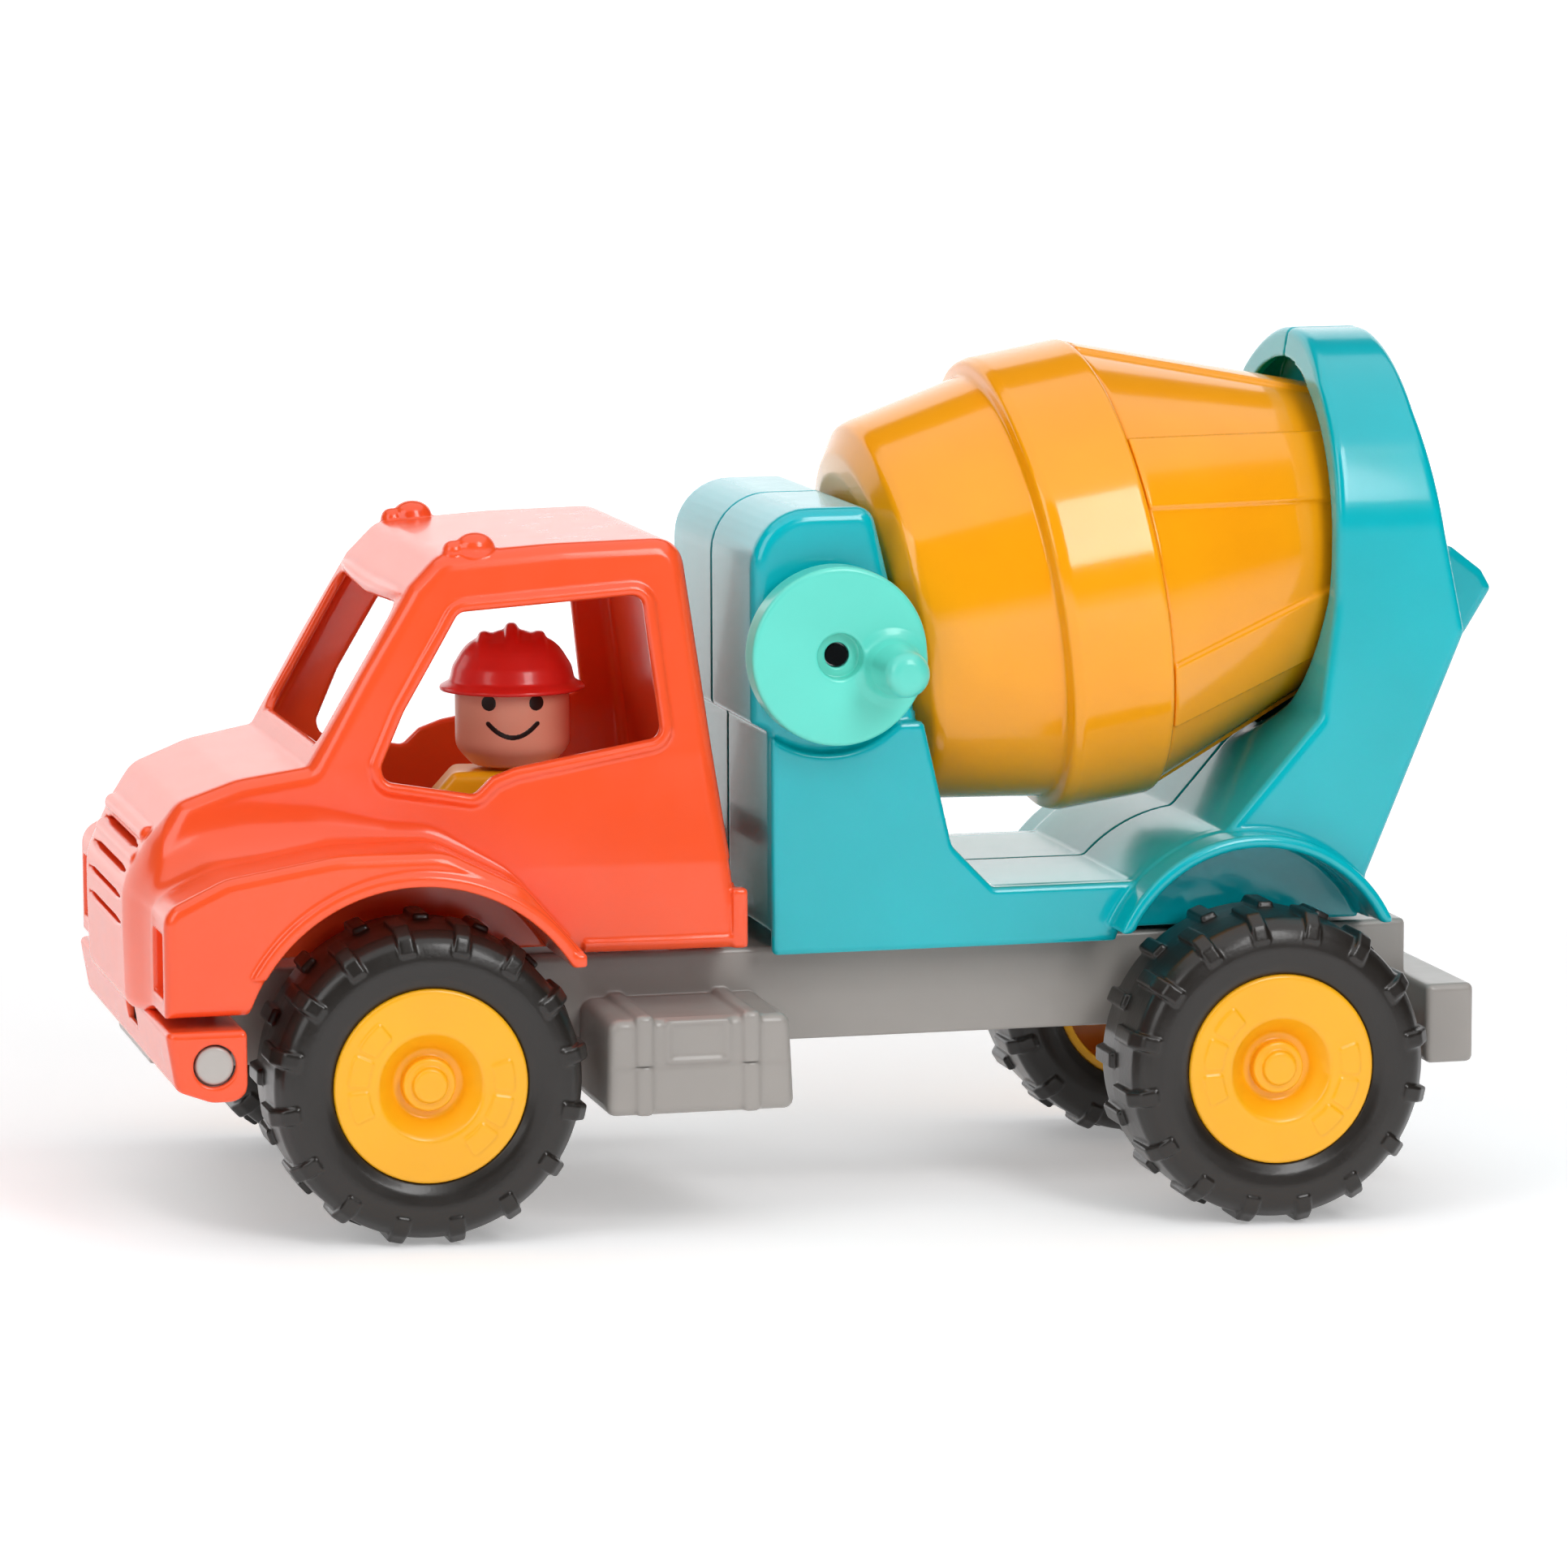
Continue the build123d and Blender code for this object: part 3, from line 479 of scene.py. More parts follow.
def cab_shell():
    g = Grid((-93, 0, 16), (72, 79, 137), 0.6, mirrored=True)
    outer, plan, front = cab_outer(g)
    arch = np.hypot(g.x - ARCH_X, g.z - ARCH_Z) - ARCH_R
    g.change(outer, (-53, 70, 26), (53, 78, 54), join, lambda p: both(
        both(np.hypot(p.x - ARCH_X, p.z - ARCH_Z) - ARCH_R - 3.2, np.abs(p.y - 74) - 2.3, 1.0),
        both(between(p.z, 28.2, 70), between(p.x, -46, 60), 0.6), 0.6), 0.8)
    g.change(outer, (-43, 70, 26), (-34, 78, 34), join,
             lambda p: cuboid(p, (-39.9, 71.5, 28.2), (-36.4, 76.8, 31.6), 0.9), 0.5)
    sill = both(both(outer - 0.9, between(g.z, 27.5, 30.9), 0.8), between(g.x, -90, -44))
    outer = join(outer, np.maximum(sill, 44 - g.y), 0.5)
    for bar_x, bar_z in GRILLE_BARS:
        g.change(outer, (bar_x - 4, 0, bar_z - 4), (bar_x + 4, 34, bar_z + 4), join, lambda p: np.sqrt(
            (p.x - bar_x - BAR_PROUD) ** 2 + (p.z - bar_z) ** 2
            + np.maximum(p.y - 30.4, 0) ** 2) - BAR_R, 0.3)
    g.change(outer, (-30, 34, 120), (-6, 52, 137), join, roof_light, 0.5)
    window = g.side(SIDE_WINDOW)
    bead = both(both(np.abs(window - 1.5) - 1.5, outer - 1.1, 1.0), -outer - 1.5)
    outer = join(outer, np.maximum(bead, CHEEK_Y - g.y), 0.7)
    g.change(outer, (-6, 0, 112), (6, 42, 126), join, header_lip, 1.0)

    inner, inner_plan, inner_front = cab_outer(g, WALL, 3.0)
    low = np.maximum(np.maximum(between(g.x, -82.8, 62.8), g.z - 50), np.maximum(inner_plan, inner_front))
    low_fender = np.maximum(np.maximum(between(g.x, -40, 62.8), g.z - 31), g.y - 72.5)
    inner = np.minimum(np.minimum(inner, low), low_fender)
    shell = cut(outer, inner, 0.5)
    shell = cut(shell, np.maximum(window, CHEEK_Y - g.y), 0.9)
    shell = cut(shell, np.maximum(g.front(WINDSCREEN), between(g.x, -8, 45)), 0.9)
    tunnel = np.maximum(between(arch, 0, 2.2), between(g.y, 37.2, 73))
    tunnel = np.minimum(tunnel, np.maximum(arch - 1, between(g.y, 37.2, 39.2)))
    tunnel = np.maximum(np.maximum(tunnel, 27.5 - g.z), between(g.x, -46, 61))
    shell = cut(np.minimum(shell, tunnel), np.maximum(arch, 39.2 - g.y), 0.5)
    for bar_x, bar_z in GRILLE_BARS[1:]:
        g.change(shell, (55, 0, bar_z - 6), (72, 30, bar_z - 1), cut, lambda p: np.maximum(
            np.maximum(np.abs(p.z - bar_z + 3.2) - 0.8 * np.clip((31 - p.y) / 12, 0.3, 1), p.y - 28),
            55 - p.x), 0.2)
    g.change(shell, (56, 51, 20), (66, 73, 43), join,
             lambda p: cuboid(p, (57.5, 52.3, 21.2), (65.0, 72, 41.7), 0.5), 0.2)
    g.change(shell, (58, 52, 21), (74, 72, 42), cut,
             lambda p: cuboid(p, (59.6, 54.5, 23.4), (74, 69.8, 39.5), 0.8), 0.6)
    shell = cut(shell, np.maximum(np.maximum(g.y - CHASSIS_ROOM, g.z - CHASSIS_TOP), g.x - NOSE_ROOM))
    for column_x, column_y in ((-76, 26), (56, 20)):
        g.change(shell, (column_x - 5, column_y - 5, 24), (column_x + 5, column_y + 5, 42), join,
                 lambda p: np.maximum(np.hypot(p.x - column_x, p.y - column_y) - POST_R,
                                      between(p.z, CHASSIS_TOP, 40.6)), 0.3)
        g.change(shell, (column_x - 5, column_y - 5, 24), (column_x + 5, column_y + 5, 42), cut,
                 lambda p: np.maximum(np.hypot(p.x - column_x, p.y - column_y) - POST_HOLE_R,
                                      between(p.z, 20, 37.6)))
    g.change(shell, (-88, 48, 26), (-79, 57, 46), join,
             lambda p: cuboid(p, (-86.2, 50.5, 27.6), (-82.0, 55.0, 42.9), 1.0), 0.4)
    return surface(g, shell)


def roof_light(p):
    """A lobed lamp moulded on the roof."""
    main = np.sqrt(((p.x + 19.0) / 5.2) ** 2 + ((p.y - 42.4) / 3.9) ** 2 + ((p.z - 130.2) / 4.0) ** 2)
    main = (main - 1) * 4.0
    nose = np.sqrt((p.x + 13.4) ** 2 + (p.y - 42.4) ** 2 + (p.z - 129.6) ** 2) - 2.7
    return join(main, nose, 0.6)


def header_lip(p):
    """The thin brow over the windscreen."""
    thick = 1.6 * (1 - (p.y / 42) ** 4)
    return np.hypot(p.x - 0.2, p.z - 119.0 + 1.5 * (1 - (p.y / 40) ** 2)) - thick


# ---------------------------------------------------------------- teal body
TOWER_SIDE = [(-94.2, 24, 1.5), (-94.2, 81, 1.5), (-89.8, 83.5), (-89.8, 138.0, 15), (-121.4, 138.0, 5),
              (-125.9, 119.0), (-141.6, 50.6, 4), (-152.5, 39.2, 2), (-200, 39.2), (-225, 39.2),
              (-225, 60), (-262, 60), (-252.5, 38.6), (-252.5, 24)]
HOOP_SIDE = [(-206, 42), (-239.9, 80.3, 4), (-243.8, 110, 30), (-244.2, 165, 10), (-246.6, 179, 2),
             (-266.4, 179, 2), (-268.2, 158, 20), (-273.6, 127.5, 20), (-279.0, 101.5, 3), (-252.6, 38.6),
             (-252.6, 30)]
REAR_ARCH_X, REAR_ARCH_Z, REAR_ARCH_R, LIP = -220.0, 11.6, 36.9, 3.3
HOOP_Z, HOOP_R = 128.0, 50.0
SCREW_COLUMNS = [(-104, 24), (-170, 24)]


def in_drum(g):
    """Distances along and out from the drum's axis, on a body-frame grid."""
    c, s = math.cos(math.radians(DRUM_TILT)), math.sin(math.radians(DRUM_TILT))
    dx, dz = g.x - DRUM_X, g.z - DRUM_Z
    return dx * c - dz * s, np.hypot(dx * s + dz * c, g.y)


def body_half():
    g = Grid((-282, -0.6, 21), (-86, 62, 182), 0.7)
    arch = np.hypot(g.x - REAR_ARCH_X, g.z - REAR_ARCH_Z) - REAR_ARCH_R
    zone = np.maximum(between(g.x, -262, -180), between(g.z, 27.5, 70))
    side = np.minimum(g.side(TOWER_SIDE), np.maximum(arch - LIP, zone))
    hump = np.maximum(np.maximum(side, -arch), 24 - g.z)
    crank_gap = 26.0 - np.hypot(g.x - CRANK_X, g.z - CRANK_Z)
    proud = both(hump, both(g.z - 83, crank_gap), 1.2)
    body = both(hump, g.y - 46.4, 3.6)
    body = join(body, both(proud, g.y - 48, 1.3), 0.5)
    hollow = np.maximum(side + WALL, WALL - arch)
    hollow = np.minimum(hollow, np.maximum(between(g.x, -184, -91), between(g.z, 20, 30)))
    body = cut(body, np.maximum(hollow, g.y - 45.5 + 1.4 * (g.z > 83)))

    hoop_2d = g.side(HOOP_SIDE)
    rim = np.where(g.z > HOOP_Z, np.hypot(g.y, g.z - HOOP_Z), g.y) - HOOP_R
    hoop = both(np.maximum(hoop_2d, -arch), rim, 2.2)
    throat = np.minimum(hoop_2d + 3, np.maximum(between(g.x, -295, -262), between(g.z, 86, 178)))
    throat = np.maximum(throat, WALL - arch)
    inside = np.maximum(throat, rim + 3)
    body = np.minimum(cut(body, np.maximum(hoop_2d, rim + 3)), cut(hoop, inside, 0.8))
    rear_wall = np.maximum(np.maximum(hoop_2d, between(g.x, -285, -262)), np.maximum(g.z - 86, g.y - 46))
    body = np.minimum(body, cut(rear_wall, inside))

    lip = both(np.abs(arch - LIP / 2) - LIP / 2, both(zone, g.y - 60, 1.3), 1.3)
    body = join(body, lip, 1.0)
    well = np.maximum(np.maximum(arch, between(g.z, 26.1, 70)), between(g.x, -262, -180))
    body = np.minimum(body, np.maximum(well, between(g.y, 36.5, 39)))

    along, out = in_drum(g)
    clear = Profile([(53.5, -5), (53.5, 41), (50.6, 48.4), (46, 51.6), (14, 61.8), (-14, 62.0),
                     (-79, 59 - 65 * 0.362 + 2.2), (-79, -5)])
    body = cut(body, clear(along, out), 0.8)
    body = np.maximum(body, -np.maximum(between(along, -78, -55), out - 44.6))
    body = cut(body, np.maximum(np.maximum(g.y - CHASSIS_ROOM, g.z - CHASSIS_TOP), between(g.x, -270, 63)))
    gear_room = np.maximum(between(along, 30, 55.4), g.y - 45.5)
    tilt = math.radians(DRUM_TILT)
    drum_z = (g.x - DRUM_X) * math.sin(tilt) + (g.z - DRUM_Z) * math.cos(tilt)
    body = np.maximum(body, -np.maximum(gear_room, between(drum_z, -58, 13)))
    wall = np.maximum(between(along, 55.3, 58.3), 5.0 - out)
    wall = np.maximum(wall, np.maximum(g.side(TOWER_SIDE) + 1, 60 - g.z))
    body = np.minimum(body, np.maximum(wall, g.y - 45.8))
    neck = np.maximum(between(along, -83.5, -80.9), 34.7 - out)
    ring = np.minimum(hoop_2d + 1, np.maximum(between(g.x, -277, -262), between(g.z, 88, 176)))
    ring = np.maximum(ring, rim + 1)
    body = np.minimum(body, np.maximum(np.maximum(neck, ring), 70 - g.z))

    crank = np.hypot(g.x - CRANK_X, g.z - CRANK_Z)
    body = np.minimum(body, np.maximum(crank - 7.5, between(g.y, 36, 48)))
    body = join(body, both(crank - 12, between(g.y, 44, 49.8), 0.5), 0.5)
    body = np.maximum(body, 3.1 - crank)
    for column_x, column_y in SCREW_COLUMNS:
        g.change(body, (column_x - 5, column_y - 5, 22), (column_x + 5, column_y + 5, 40), join,
                 lambda p: np.maximum(np.hypot(p.x - column_x, p.y - column_y) - POST_R,
                                      between(p.z, CHASSIS_TOP, 38.2)), 0.3)
        g.change(body, (column_x - 5, column_y - 5, 22), (column_x + 5, column_y + 5, 37), cut,
                 lambda p: np.maximum(np.hypot(p.x - column_x, p.y - column_y) - POST_HOLE_R,
                                      between(p.z, 20, 35.6)))
    body = both(body, 0.06 - g.y, 0.45)
    return surface(g, body)


CHUTE_SIDE = [(-272.5, 87), (-276.0, 87), (-289.0, 97.6, 4), (-296.4, 109.4, 2), (-293.6, 114.4, 2),
              (-285.0, 121.0, 3), (-274.6, 122.0), (-274.0, 100)]
CHUTE_HOLLOW = [(-268, 89.2), (-276.0, 89.8), (-287.2, 99.4, 2), (-293.3, 109.2), (-301, 112), (-301, 130),
                (-268, 130)]


def chute():
    g = Grid((-299, -0.6, 84), (-271, 24, 125), 0.45, mirrored=True)
    spout = both(g.side(CHUTE_SIDE), g.y - 22, 2.5)
    hollow = g.side(CHUTE_HOLLOW)
    return surface(g, cut(spout, both(hollow, g.y - 19.6, 1.5), 0.9))


# ---------------------------------------------------------------- chassis and bumper
BUMPER_SLOT_Y, BUMPER_SLOT_Z = (5, 21), (8.5, 14.8)


def chassis():
    g = Grid((-282, 0, -13.5), (65, 77, 26.5), 0.7, mirrored=True)
    top, half = CHASSIS_TOP, CHASSIS_HALF
    frame_box = both(cuboid(g, (-268, -half, -6), (48, half, top), 1.2), -g.z)
    nose = both(cuboid(g, (40, -28, -6), (63, 28, top), 1.2), -g.z)
    shape = np.minimum(frame_box, nose)
    shape = cut(shape, cuboid(g, (-265.5, -33.5, -9), (45.5, 33.5, top - WALL), 0.6), 0.3)
    shape = cut(shape, cuboid(g, (40, -25.5, -9), (60.5, 25.5, top - WALL), 0.6), 0.3)
    for rib_x in (-190, -140, -60, -20, 25):
        shape = np.minimum(shape, cuboid(g, (rib_x, -35, 8), (rib_x + WALL, 35, top - 1), 0.4))
    rear_z = -(FRONT_AXLE.x - REAR_AXLE.x) * math.sin(math.radians(RAKE))
    rear_x = -(FRONT_AXLE.x - REAR_AXLE.x) * math.cos(math.radians(RAKE))
    for axle_x, axle_z in ((0, 0), (rear_x, rear_z)):
        block = cuboid(g, (axle_x - 9, 27, axle_z - 6), (axle_x + 9, 36, top - 1), 1.2)
        shape = join(shape, block, 0.8)
        shape = np.maximum(shape, 2.08 - np.hypot(g.x - axle_x, g.z - axle_z))
    for column_x, column_y in ((-104, 24), (-170, 24), (-76, 26), (56, 20)):
        column = np.hypot(g.x - column_x, g.y - column_y)
        shape = np.minimum(shape, np.maximum(column - 4.5, between(g.z, 14, top - 1)))
        shape = np.maximum(shape, -np.maximum(column - 1.6, between(g.z, 0, 26)))
        shape = np.maximum(shape, -np.maximum(column - 3.2, between(g.z, -2, 17)))
    arm = cuboid(g, (49.5, 25.5, 2), (58.9, 74.6, 14), 0.8)
    shape = np.minimum(shape, arm)
    shape = np.maximum(shape, -np.maximum(np.hypot(g.x - PIN_X, g.z - PIN_Z) - 3.0, 45 - g.y))
    locker = both(g.side([(-45.8, -11.4, 2.5), (-94.4, -11.4, 2.5), (-93.2, 13.2, 3), (-46.6, 13.2, 3)]),
                  between(g.y, 35, 70.5), 2.4)
    shape = join(shape, locker, 0.6)
    shape = cut(shape, cuboid(g, (-91.5, 37, -16), (-48.5, 68, 10.5), 0.8), 0.3)
    for strap_x in (-55.5, -83.0):
        strap = both(cuboid(g, (strap_x - 2.4, 30, -11.4), (strap_x + 2.4, 71.6, 14.3), 1.4),
                     -cuboid(g, (strap_x - 5, 30, -13), (strap_x + 5, 69.4, 12.1), 1.0))
        shape = join(shape, strap, 0.4)
    panel = np.abs(cuboid(g, (-77.5, 60, 1.8), (-61, 80, 12.6), 0.5) + 0.55) - 0.66
    shape = join(shape, both(panel, between(g.y, 69, 71.1), 0.4), 0.3)
    seam = np.maximum(np.abs(g.z - 1.2) - 0.22, np.maximum(np.abs(g.y - 70.7) - 0.5, between(g.x, -95, -45)))
    shape = cut(shape, seam, 0.1)
    bar = cuboid(g, (-280, -56, -10.7), (-267, 56, 10.2), 1.6)
    bar = cut(bar, cuboid(g, (-277.5, -53.5, -14), (-268, 53.5, 7.7), 0.6), 0.3)
    return surface(g, join(shape, bar, 0.5))


def front_bumper():
    g = Grid((43, -79.5, -3), (68, 79.5, 18), 0.5)
    y = np.abs(g.y)
    nose = g.x - np.interp(g.z, (2.6, 16.5), (63.9, 66.2)).astype(np.float32)
    plan = both(both(nose, y - 78, 2.6), 45.6 - g.x, 1.0)
    low = g.side([(90, 3.9), (66, 2.6, 3), (55, -1.4, 6), (45.6, -1.4, 5), (45.6, 40), (90, 40)])
    bar = both(both(plan, low, 1.4), g.z - 16.5, 1.6)
    bar = cut(bar, np.maximum(np.maximum(nose + 2.6, y - 75.4), g.z - 14), 0.3)
    bar = cut(bar, np.maximum(np.maximum(y - 40, 5 - g.z), g.x - 63.3), 0.3)
    slot = np.maximum(between(g.y, *BUMPER_SLOT_Y), between(g.z, *BUMPER_SLOT_Z))
    bar = cut(bar, np.maximum(slot, 63.4 - g.x), 0.4)
    return surface(g, cut(bar, np.hypot(g.x - PIN_X, g.z - PIN_Z) - 5.3, 0.5))


def bumper_pin():
    g = Grid((47, 60, 1), (61, 79, 15), 0.35)
    out = np.hypot(g.x - PIN_X, g.z - PIN_Z)
    head = both(out - 4.8, between(g.y, 74.8, 77.4), 0.9)
    return surface(g, join(head, both(out - 3.0, between(g.y, 62, 76), 0.5), 0.3))


# ---------------------------------------------------------------- drum, turned about its own x
CONE_R, CONE_SLOPE, NECK_R = 59.0, 0.362, 34.4
DRUM_MOUTH = -87.0


def cone_r(along):
    return CONE_R + (along + 14.0) * CONE_SLOPE


def drum_front():
    g = Grid((-16, 0, -63), (56, 63, 63), 0.6, mirrored=True)
    profile = Profile([(52.5, -5), (52.5, 37.5, 2), (51.6, 43.0, 5), (47.5, 49.4, 3), (45.0, 50.4, 4),
                       (14, 56.1, 1.2), (13.2, 59.6, 1.6), (10.5, 60.5, 2), (-13.8, 60.9, 1.3),
                       (-13.8, 57.75), (-3.0, 57.75), (-3.0, 56.0), (12, 53.8), (44.6, 47.8),
                       (47.2, 46.0), (49.0, 42.6), (50.2, 36), (50.2, -5)])
    out = np.hypot(g.y, g.z)
    cup = profile(*np.broadcast_arrays(g.x, out))
    cup = join(cup, both(out - 8, between(g.x, 49, 53.9), 0.4), 0.4)
    cup = np.maximum(cup, -np.maximum(out - 5.0, 51.0 - g.x))
    return surface(g, np.maximum(cup, 1.5 - out))


def drum_rear():
    g = Grid((-89, 0, -62), (-1.5, 62, 62), 0.6, mirrored=True)
    profile = Profile([(-3.1, 57.65), (-13.9, 57.65), (-14.0, CONE_R, 0.5), (-80, cone_r(-80), 3),
                       (-80.6, NECK_R, 1.5), (DRUM_MOUTH, NECK_R, 0.8), (DRUM_MOUTH, NECK_R - 2.2, 0.8),
                       (-80.2, NECK_R - 2.2), (-15, 56.2), (-12, 55.2), (-3.1, 55.2)])
    raised = Profile([(-14.1, 54), (-14.1, CONE_R + 1.2, 0.4), (-78.5, cone_r(-78.5) + 1.2, 0.6),
                      (-78.5, 33)])
    out = np.hypot(g.y, g.z)
    turn = np.arctan2(g.y, g.z)
    fold = turn - np.round(turn / (math.pi / 3)) * (math.pi / 3)
    cone = profile(*np.broadcast_arrays(g.x, out))
    rib = both(raised(*np.broadcast_arrays(g.x, out)), np.abs(out * np.sin(fold)) - 10.0, 0.4)
    return surface(g, join(cone, rib, 0.3))


# ---------------------------------------------------------------- crank
KNOB_ANGLE, KNOB_AT = 193.5, 13.7


def crank_wheel():
    g = Grid((-24.5, 49, -24.5), (24.5, 79, 24.5), 0.42)
    out = np.hypot(g.x, g.z)
    disc = both(out - 22.8, between(g.y, 50.5, 59.5), 1.1)
    a = math.radians(KNOB_ANGLE)
    knob = Profile([(-5, 57), (9.0, 57), (9.0, 59.4), (7.6, 60.6, 3), (6.6, 64, 3), (5.7, 77.6, 3.6),
                    (-5, 77.6)])
    from_knob = np.hypot(g.x - KNOB_AT * math.cos(a), g.z - KNOB_AT * math.sin(a))
    wheel = join(disc, knob(*np.broadcast_arrays(from_knob, g.y)), 1.4)
    wheel = cut(wheel, np.maximum(out - 5.8, 55.6 - g.y), 0.7)
    wheel = cut(wheel, out - 3.2, 0.2)
    plate = np.maximum(out - 4.6, between(g.y, 50.5, 53.2))
    return surface(g, np.minimum(wheel, np.maximum(plate, 3.0 - out)))


# ---------------------------------------------------------------- wheels, left side, about local y
OUT = 78.0
TYRE_MID = OUT - 18.0
HUB_R = 24.5
LUGS = 16


def tyre():
    g = Grid((-42, -18.6, -42), (42, 18.6, 42), 0.48)
    upper = [(HUB_R, 16.0), (27, 17.4, 4), (31.5, 18.1, 9), (36.4, 16.9, 5), (38.9, 13.4, 3)]
    centre = [(39.3, 3.0, 1), (39.3, -3.0, 1)]
    inner = [(35.4, 0), (35.0, 11.0), (32.0, 14.8), (HUB_R, 13.2)]
    corners = upper + centre + [(c[0], -c[1]) + c[2:] for c in reversed(upper)]
    corners += [(r, -w) for r, w in reversed(inner)] + inner[1:]
    out = np.hypot(g.x, g.z)
    carcass = Profile(corners)(*np.broadcast_arrays(out, g.y))
    lug_side = Profile([(0.5, 37.0), (0.5, TYRE_R, 0.6), (13.4, TYRE_R, 2.6), (17.2, 38.0, 2.4),
                        (18.2, 33.6, 0.6), (16.4, 33.2), (13.0, 36.6)])
    turn = np.arctan2(g.x, -g.z)
    pitch = 2 * math.pi / LUGS
    for row in (-1, 1):
        shift = turn - (pitch / 2 if row > 0 else 0)
        fold = shift - np.round(shift / pitch) * pitch
        lug = lug_side(*np.broadcast_arrays(row * g.y, out * np.cos(fold)))
        carcass = join(carcass, both(lug, np.abs(out * np.sin(fold)) - 2.1, 0.7), 0.5)
    return surface(g, carcass)


def hub():
    g = Grid((-25.5, 37, -25.5), (25.5, 78.5, 25.5), 0.42)
    face = OUT - 1.0
    profile = Profile([(2.05, 38.0), (4.6, 38.0), (4.6, face - 8.6), (9.2, face - 8.6), (13.0, face - WALL),
                       (22.0, face - WALL), (22.0, 45.0), (HUB_R, 45.0), (HUB_R, face, 0.9),
                       (13.4, face, 1.6), (8.9, face - 5.8, 1.2), (6.7, face - 5.8, 0.5),
                       (6.7, face - 2.7, 0.7), (4.4, face - 2.7, 0.5), (4.4, face - 1.1, 0.8),
                       (-5, face - 1.1), (-5, face - 5.0), (2.05, face - 5.0)], step=0.12)
    out = np.hypot(g.x, g.z)
    wheel = profile(*np.broadcast_arrays(out, g.y))
    turn = np.arctan2(g.z, g.x)
    for centre in (12.0, 200.0):
        for step in (-1, 0, 1):
            a = math.radians(centre + step * 27)
            away = np.angle(np.exp(1j * (turn - a))) * 18.4
            tile = both(np.abs(out - 18.4) - 2.6, np.abs(away) - 3.7, 0.8)
            wheel = join(wheel, both(tile, between(g.y, face - 1, face + 0.38), 0.25), 0.2)
    return surface(g, wheel)


# ---------------------------------------------------------------- driver, facing local +x
def driver_torso():
    g = Grid((-12, -25, 29), (12, 25, 79), 0.5)
    chest = g.front([(-23, 42.5, 3), (23, 42.5, 3), (23, 60, 3), (15.5, 68.4, 3), (-15.5, 68.4, 3),
                     (-23, 60, 3)])
    shape = both(chest, np.abs(g.x) - 10, 2.6)
    inset = both(both(chest + 3.2, np.abs(g.x) - 7.4, 1.5), 60 - g.z)
    shape = cut(shape, np.maximum(np.abs(inset) - 0.35, np.abs(shape) - 0.6), 0.2)
    out = np.hypot(g.x, g.y)
    shape = np.minimum(shape, np.maximum(out - 6, between(g.z, 30, 44)))
    return surface(g, np.minimum(shape, np.maximum(out - 6, between(g.z, 66, 78))))


def driver_head():
    g = Grid((-16, -16, 68), (16, 16, 93), 0.4)
    head = Profile([(-5, 69.4), (10.4, 69.4, 3), (14.8, 74.2, 5), (14.8, 91.5, 0.5), (-5, 91.5)])
    out = np.hypot(g.x, g.y)
    return surface(g, np.maximum(head(*np.broadcast_arrays(out, g.z)), -np.maximum(out - 6.05, g.z - 78.2)))


def driver_face():
    """Two dot eyes and a smile, printed on the head."""
    g = Grid((7, -9, 75), (15.6, 9, 90), 0.2)
    ink = np.hypot(np.abs(g.y) - 6.1, (g.z - 86.8) * 0.94) - 1.9
    smile = None
    for step in range(12):
        start, end = -6.3 + step * 1.05, -5.25 + step * 1.05
        low, high = 78 + 3.5 * (start / 6.3) ** 2, 78 + 3.5 * (end / 6.3) ** 2
        du, dv = end - start, high - low
        along = np.clip(((g.y - start) * du + (g.z - low) * dv) / (du * du + dv * dv), 0, 1)
        stroke = np.hypot(g.y - start - along * du, g.z - low - along * dv) - 0.66
        smile = stroke if smile is None else np.minimum(smile, stroke)
    skin = np.abs(np.hypot(g.x, g.y) - 14.75) - 0.14
    return surface(g, both(skin, np.minimum(ink, smile), 0.05))


def driver_helmet():
    g = Grid((-20, -20, 87.5), (20, 20, 106.5), 0.4)
    bowl = Profile([(-5, 104.6), (2, 104.5, 9), (11.6, 101.2, 9), (15.4, 95, 4), (16.2, 91.4, 1.5),
                    (18.8, 89.9, 0.4), (18.8, 88.9, 0.4), (15.0, 88.9), (15.0, 91.6), (14.0, 94.6),
                    (10.6, 98.4), (5.3, 101.4), (-5, 102.2)])
    out = np.hypot(g.x, g.y)
    shape = bowl(*np.broadcast_arrays(out, g.z))
    for ridge_y in (-7, 0, 7):
        arch = np.hypot(g.x, g.z - 91.2) - (14.8 - abs(ridge_y) * 0.3)
        ridge = both(np.abs(g.y - ridge_y) - 1.7, arch, 1.4)
        shape = join(shape, np.maximum(ridge, 94 - g.z), 0.8)
    core = Profile([(-5, 80), (14.6, 80), (14.6, 91.6), (13.6, 94.6), (10.2, 98.4), (5.0, 101.0),
                    (-5, 101.8)])
    return surface(g, np.maximum(shape, -core(*np.broadcast_arrays(out, g.z))))


# ---------------------------------------------------------------- build the pieces
MIRROR = np.diag([1.0, -1.0, 1.0, 1.0])


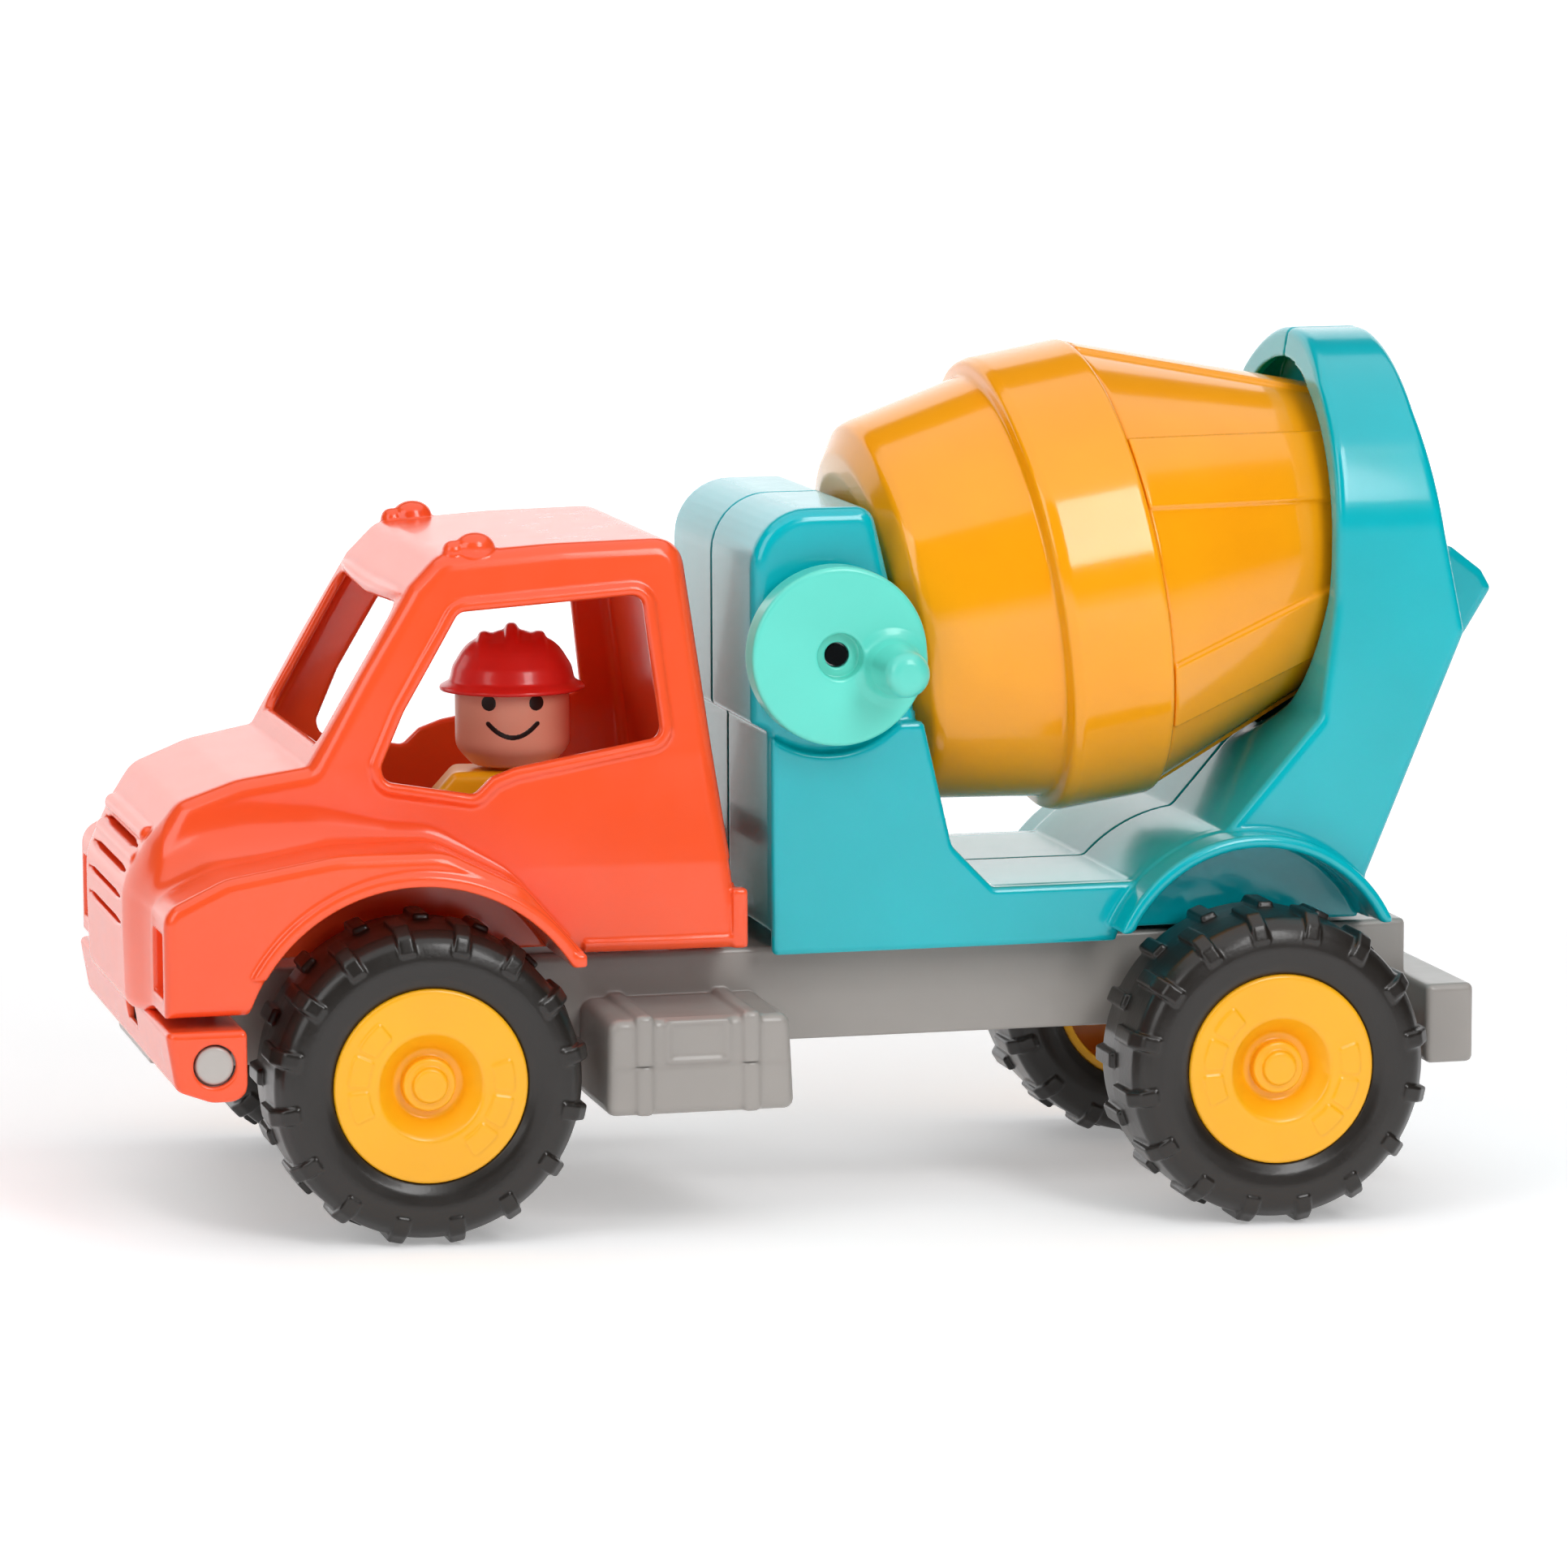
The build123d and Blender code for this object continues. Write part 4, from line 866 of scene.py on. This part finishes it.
def build():
    slots = dress_frame()

    def stand_in(node, made, place, body):
        slot = slots[node]
        piece(node + "_moulding", made, place, body, LOOKS[slot], (node,))

    stand_in("cab_shell", cab_shell(), BODY, "lorry")
    half = body_half()
    stand_in("body_half_left", half, BODY, "lorry")
    stand_in("body_half_right", half, BODY @ MIRROR, "lorry")
    stand_in("discharge_chute", chute(), BODY, "lorry")
    stand_in("chassis_frame", chassis(), BODY, "lorry")
    stand_in("front_bumper", front_bumper(), BODY, "lorry")
    pin = bumper_pin()
    stand_in("bumper_pin_left", pin, BODY, "lorry")
    stand_in("bumper_pin_right", pin, BODY @ MIRROR, "lorry")
    stand_in("drum_front_shell", drum_front(), DRUM, "drum")
    stand_in("drum_rear_shell", drum_rear(), DRUM, "drum")
    stand_in("crank_wheel", crank_wheel(), CRANK, "crank")
    stand_in("driver_torso", driver_torso(), DRIVER, "driver")
    stand_in("driver_head", driver_head(), DRIVER, "driver")
    stand_in("driver_helmet", driver_helmet(), DRIVER, "driver")
    piece("driver_face_print", driver_face(), DRIVER, "driver", INK)
    rubber, rim = tyre(), hub()
    for end, axle in (("front", FRONT_AXLE), ("rear", REAR_AXLE)):
        place = shifted(axle.x, 0, axle.z)
        for hand, flip in (("left", np.eye(4)), ("right", MIRROR)):
            body = end + "_wheels"
            stand_in(end + "_" + hand + "_tyre", rubber, place @ flip @ shifted(0, TYRE_MID, 0), body)
            stand_in(end + "_" + hand + "_hub", rim, place @ flip, body)


# ---------------------------------------------------------------- studio
def paper():
    """White studio paper that glows faintly near the lorry and fully behind it."""
    material = moulded("studio_paper", (244, 244, 245), rough=0.8, drift=0.004, grain=0.01, coat=0.0)
    nodes, links = material.node_tree.nodes, material.node_tree.links
    shader = nodes["Principled BSDF"]
    where = nodes.new("ShaderNodeTexCoord")
    parts = nodes.new("ShaderNodeSeparateXYZ")
    fade = nodes.new("ShaderNodeMapRange")
    for socket, value in (("From Min", -0.35), ("From Max", -1.8), ("To Min", 0.3), ("To Max", 1.0)):
        fade.inputs[socket].default_value = value
    shader.inputs["Emission Color"].default_value = (1, 1, 1, 1)
    links.new(where.outputs["Object"], parts.inputs["Vector"])
    links.new(parts.outputs["Y"], fade.inputs["Value"])
    links.new(fade.outputs["Result"], shader.inputs["Emission Strength"])
    return material


def strip(name, rows, material):
    """A wide sheet of paper that follows (y, z) rows."""
    mesh = bpy.data.meshes.new(name)
    columns = np.linspace(-7, 7, 8)
    points = [(x, y, z) for y, z in rows for x in columns]
    faces = [(i * 8 + j, i * 8 + j + 1, i * 8 + j + 9, i * 8 + j + 8)
             for i in range(len(rows) - 1) for j in range(7)]
    mesh.from_pydata(points, [], faces)
    mesh.shade_smooth()
    mesh.materials.append(material)
    made = bpy.data.objects.new(name, mesh)
    bpy.context.scene.collection.objects.link(made)


def soft_box(name, aim, azimuth, elevation, distance, size, power):
    """A rectangular lamp; azimuth 0 is the lorry's left and grows towards its front."""
    light = bpy.data.lights.new(name, "AREA")
    light.shape = "RECTANGLE"
    light.size, light.size_y = size
    light.energy = power
    made = bpy.data.objects.new(name, light)
    bpy.context.scene.collection.objects.link(made)
    a, e = math.radians(azimuth), math.radians(elevation)
    way = Vector((math.sin(a) * math.cos(e), math.cos(a) * math.cos(e), math.sin(e)))
    made.location = Vector(aim) + way * distance
    made.rotation_euler = way.to_track_quat("Z", "Y").to_euler()


def studio():
    turn = [(-3.0 - 2.0 * math.sin(a), 2.0 - 2.0 * math.cos(a)) for a in np.linspace(0, math.pi / 2, 14)]
    strip("studio_paper", [(7, 0), (3, 0), (1, 0), (-1, 0)] + turn + [(-5.0, 4.5)], paper())

    world = bpy.data.worlds.new("studio")
    bpy.context.scene.world = world
    world.use_nodes = True
    nodes, links = world.node_tree.nodes, world.node_tree.links
    where = nodes.new("ShaderNodeTexCoord")
    parts = nodes.new("ShaderNodeSeparateXYZ")
    fade = nodes.new("ShaderNodeMapRange")
    fade.inputs["From Min"].default_value = 0.0
    fade.inputs["From Max"].default_value = 0.9
    fade.inputs["To Min"].default_value = 0.26
    fade.inputs["To Max"].default_value = 0.75
    links.new(where.outputs["Generated"], parts.inputs["Vector"])
    links.new(parts.outputs["Z"], fade.inputs["Value"])
    links.new(fade.outputs["Result"], nodes["Background"].inputs["Strength"])

    drum = (-0.07, 0, 0.15)
    soft_box("key_box", drum, -14, 29, 1.3, (0.36, 0.72), 6.5)
    soft_box("overhead_box", (0, 0, 0.1), 0, 80, 1.9, (3.4, 2.8), 34)
    soft_box("front_box", (0.05, 0, 0.1), 52, 24, 1.5, (0.7, 0.9), 5.0)
    bpy.context.scene.view_settings.view_transform = "Standard"


LENS = 154.38
CAMERA_AT = (0.4244, 1.6901, 0.3381)
CAMERA_YAW, CAMERA_PITCH, CAMERA_ROLL = -13.97, 7.62, 1.33


def camera():
    """The photographed view: a long lens, level with the cab, from the lorry's left."""
    data = bpy.data.cameras.new("camera")
    data.sensor_width = 36.0
    data.lens = LENS
    data.clip_start, data.clip_end = 0.05, 50
    made = bpy.data.objects.new("camera", data)
    yaw, pitch, roll = (math.radians(angle) for angle in (CAMERA_YAW, CAMERA_PITCH, CAMERA_ROLL))
    ahead = np.array([math.sin(yaw), -math.cos(yaw), 0])
    right = np.array([-math.cos(yaw), -math.sin(yaw), 0])
    up = np.array([0, 0, 1.0])
    look = math.cos(pitch) * ahead - math.sin(pitch) * up
    rise = math.sin(pitch) * ahead + math.cos(pitch) * up
    turned_right = math.cos(roll) * right + math.sin(roll) * rise
    turned_up = -math.sin(roll) * right + math.cos(roll) * rise
    made.matrix_world = Matrix([[turned_right[i], turned_up[i], -look[i], at]
                                for i, at in enumerate(CAMERA_AT)] + [[0, 0, 0, 1]])
    bpy.context.scene.collection.objects.link(made)
    bpy.context.scene.camera = made


build()
studio()
camera()
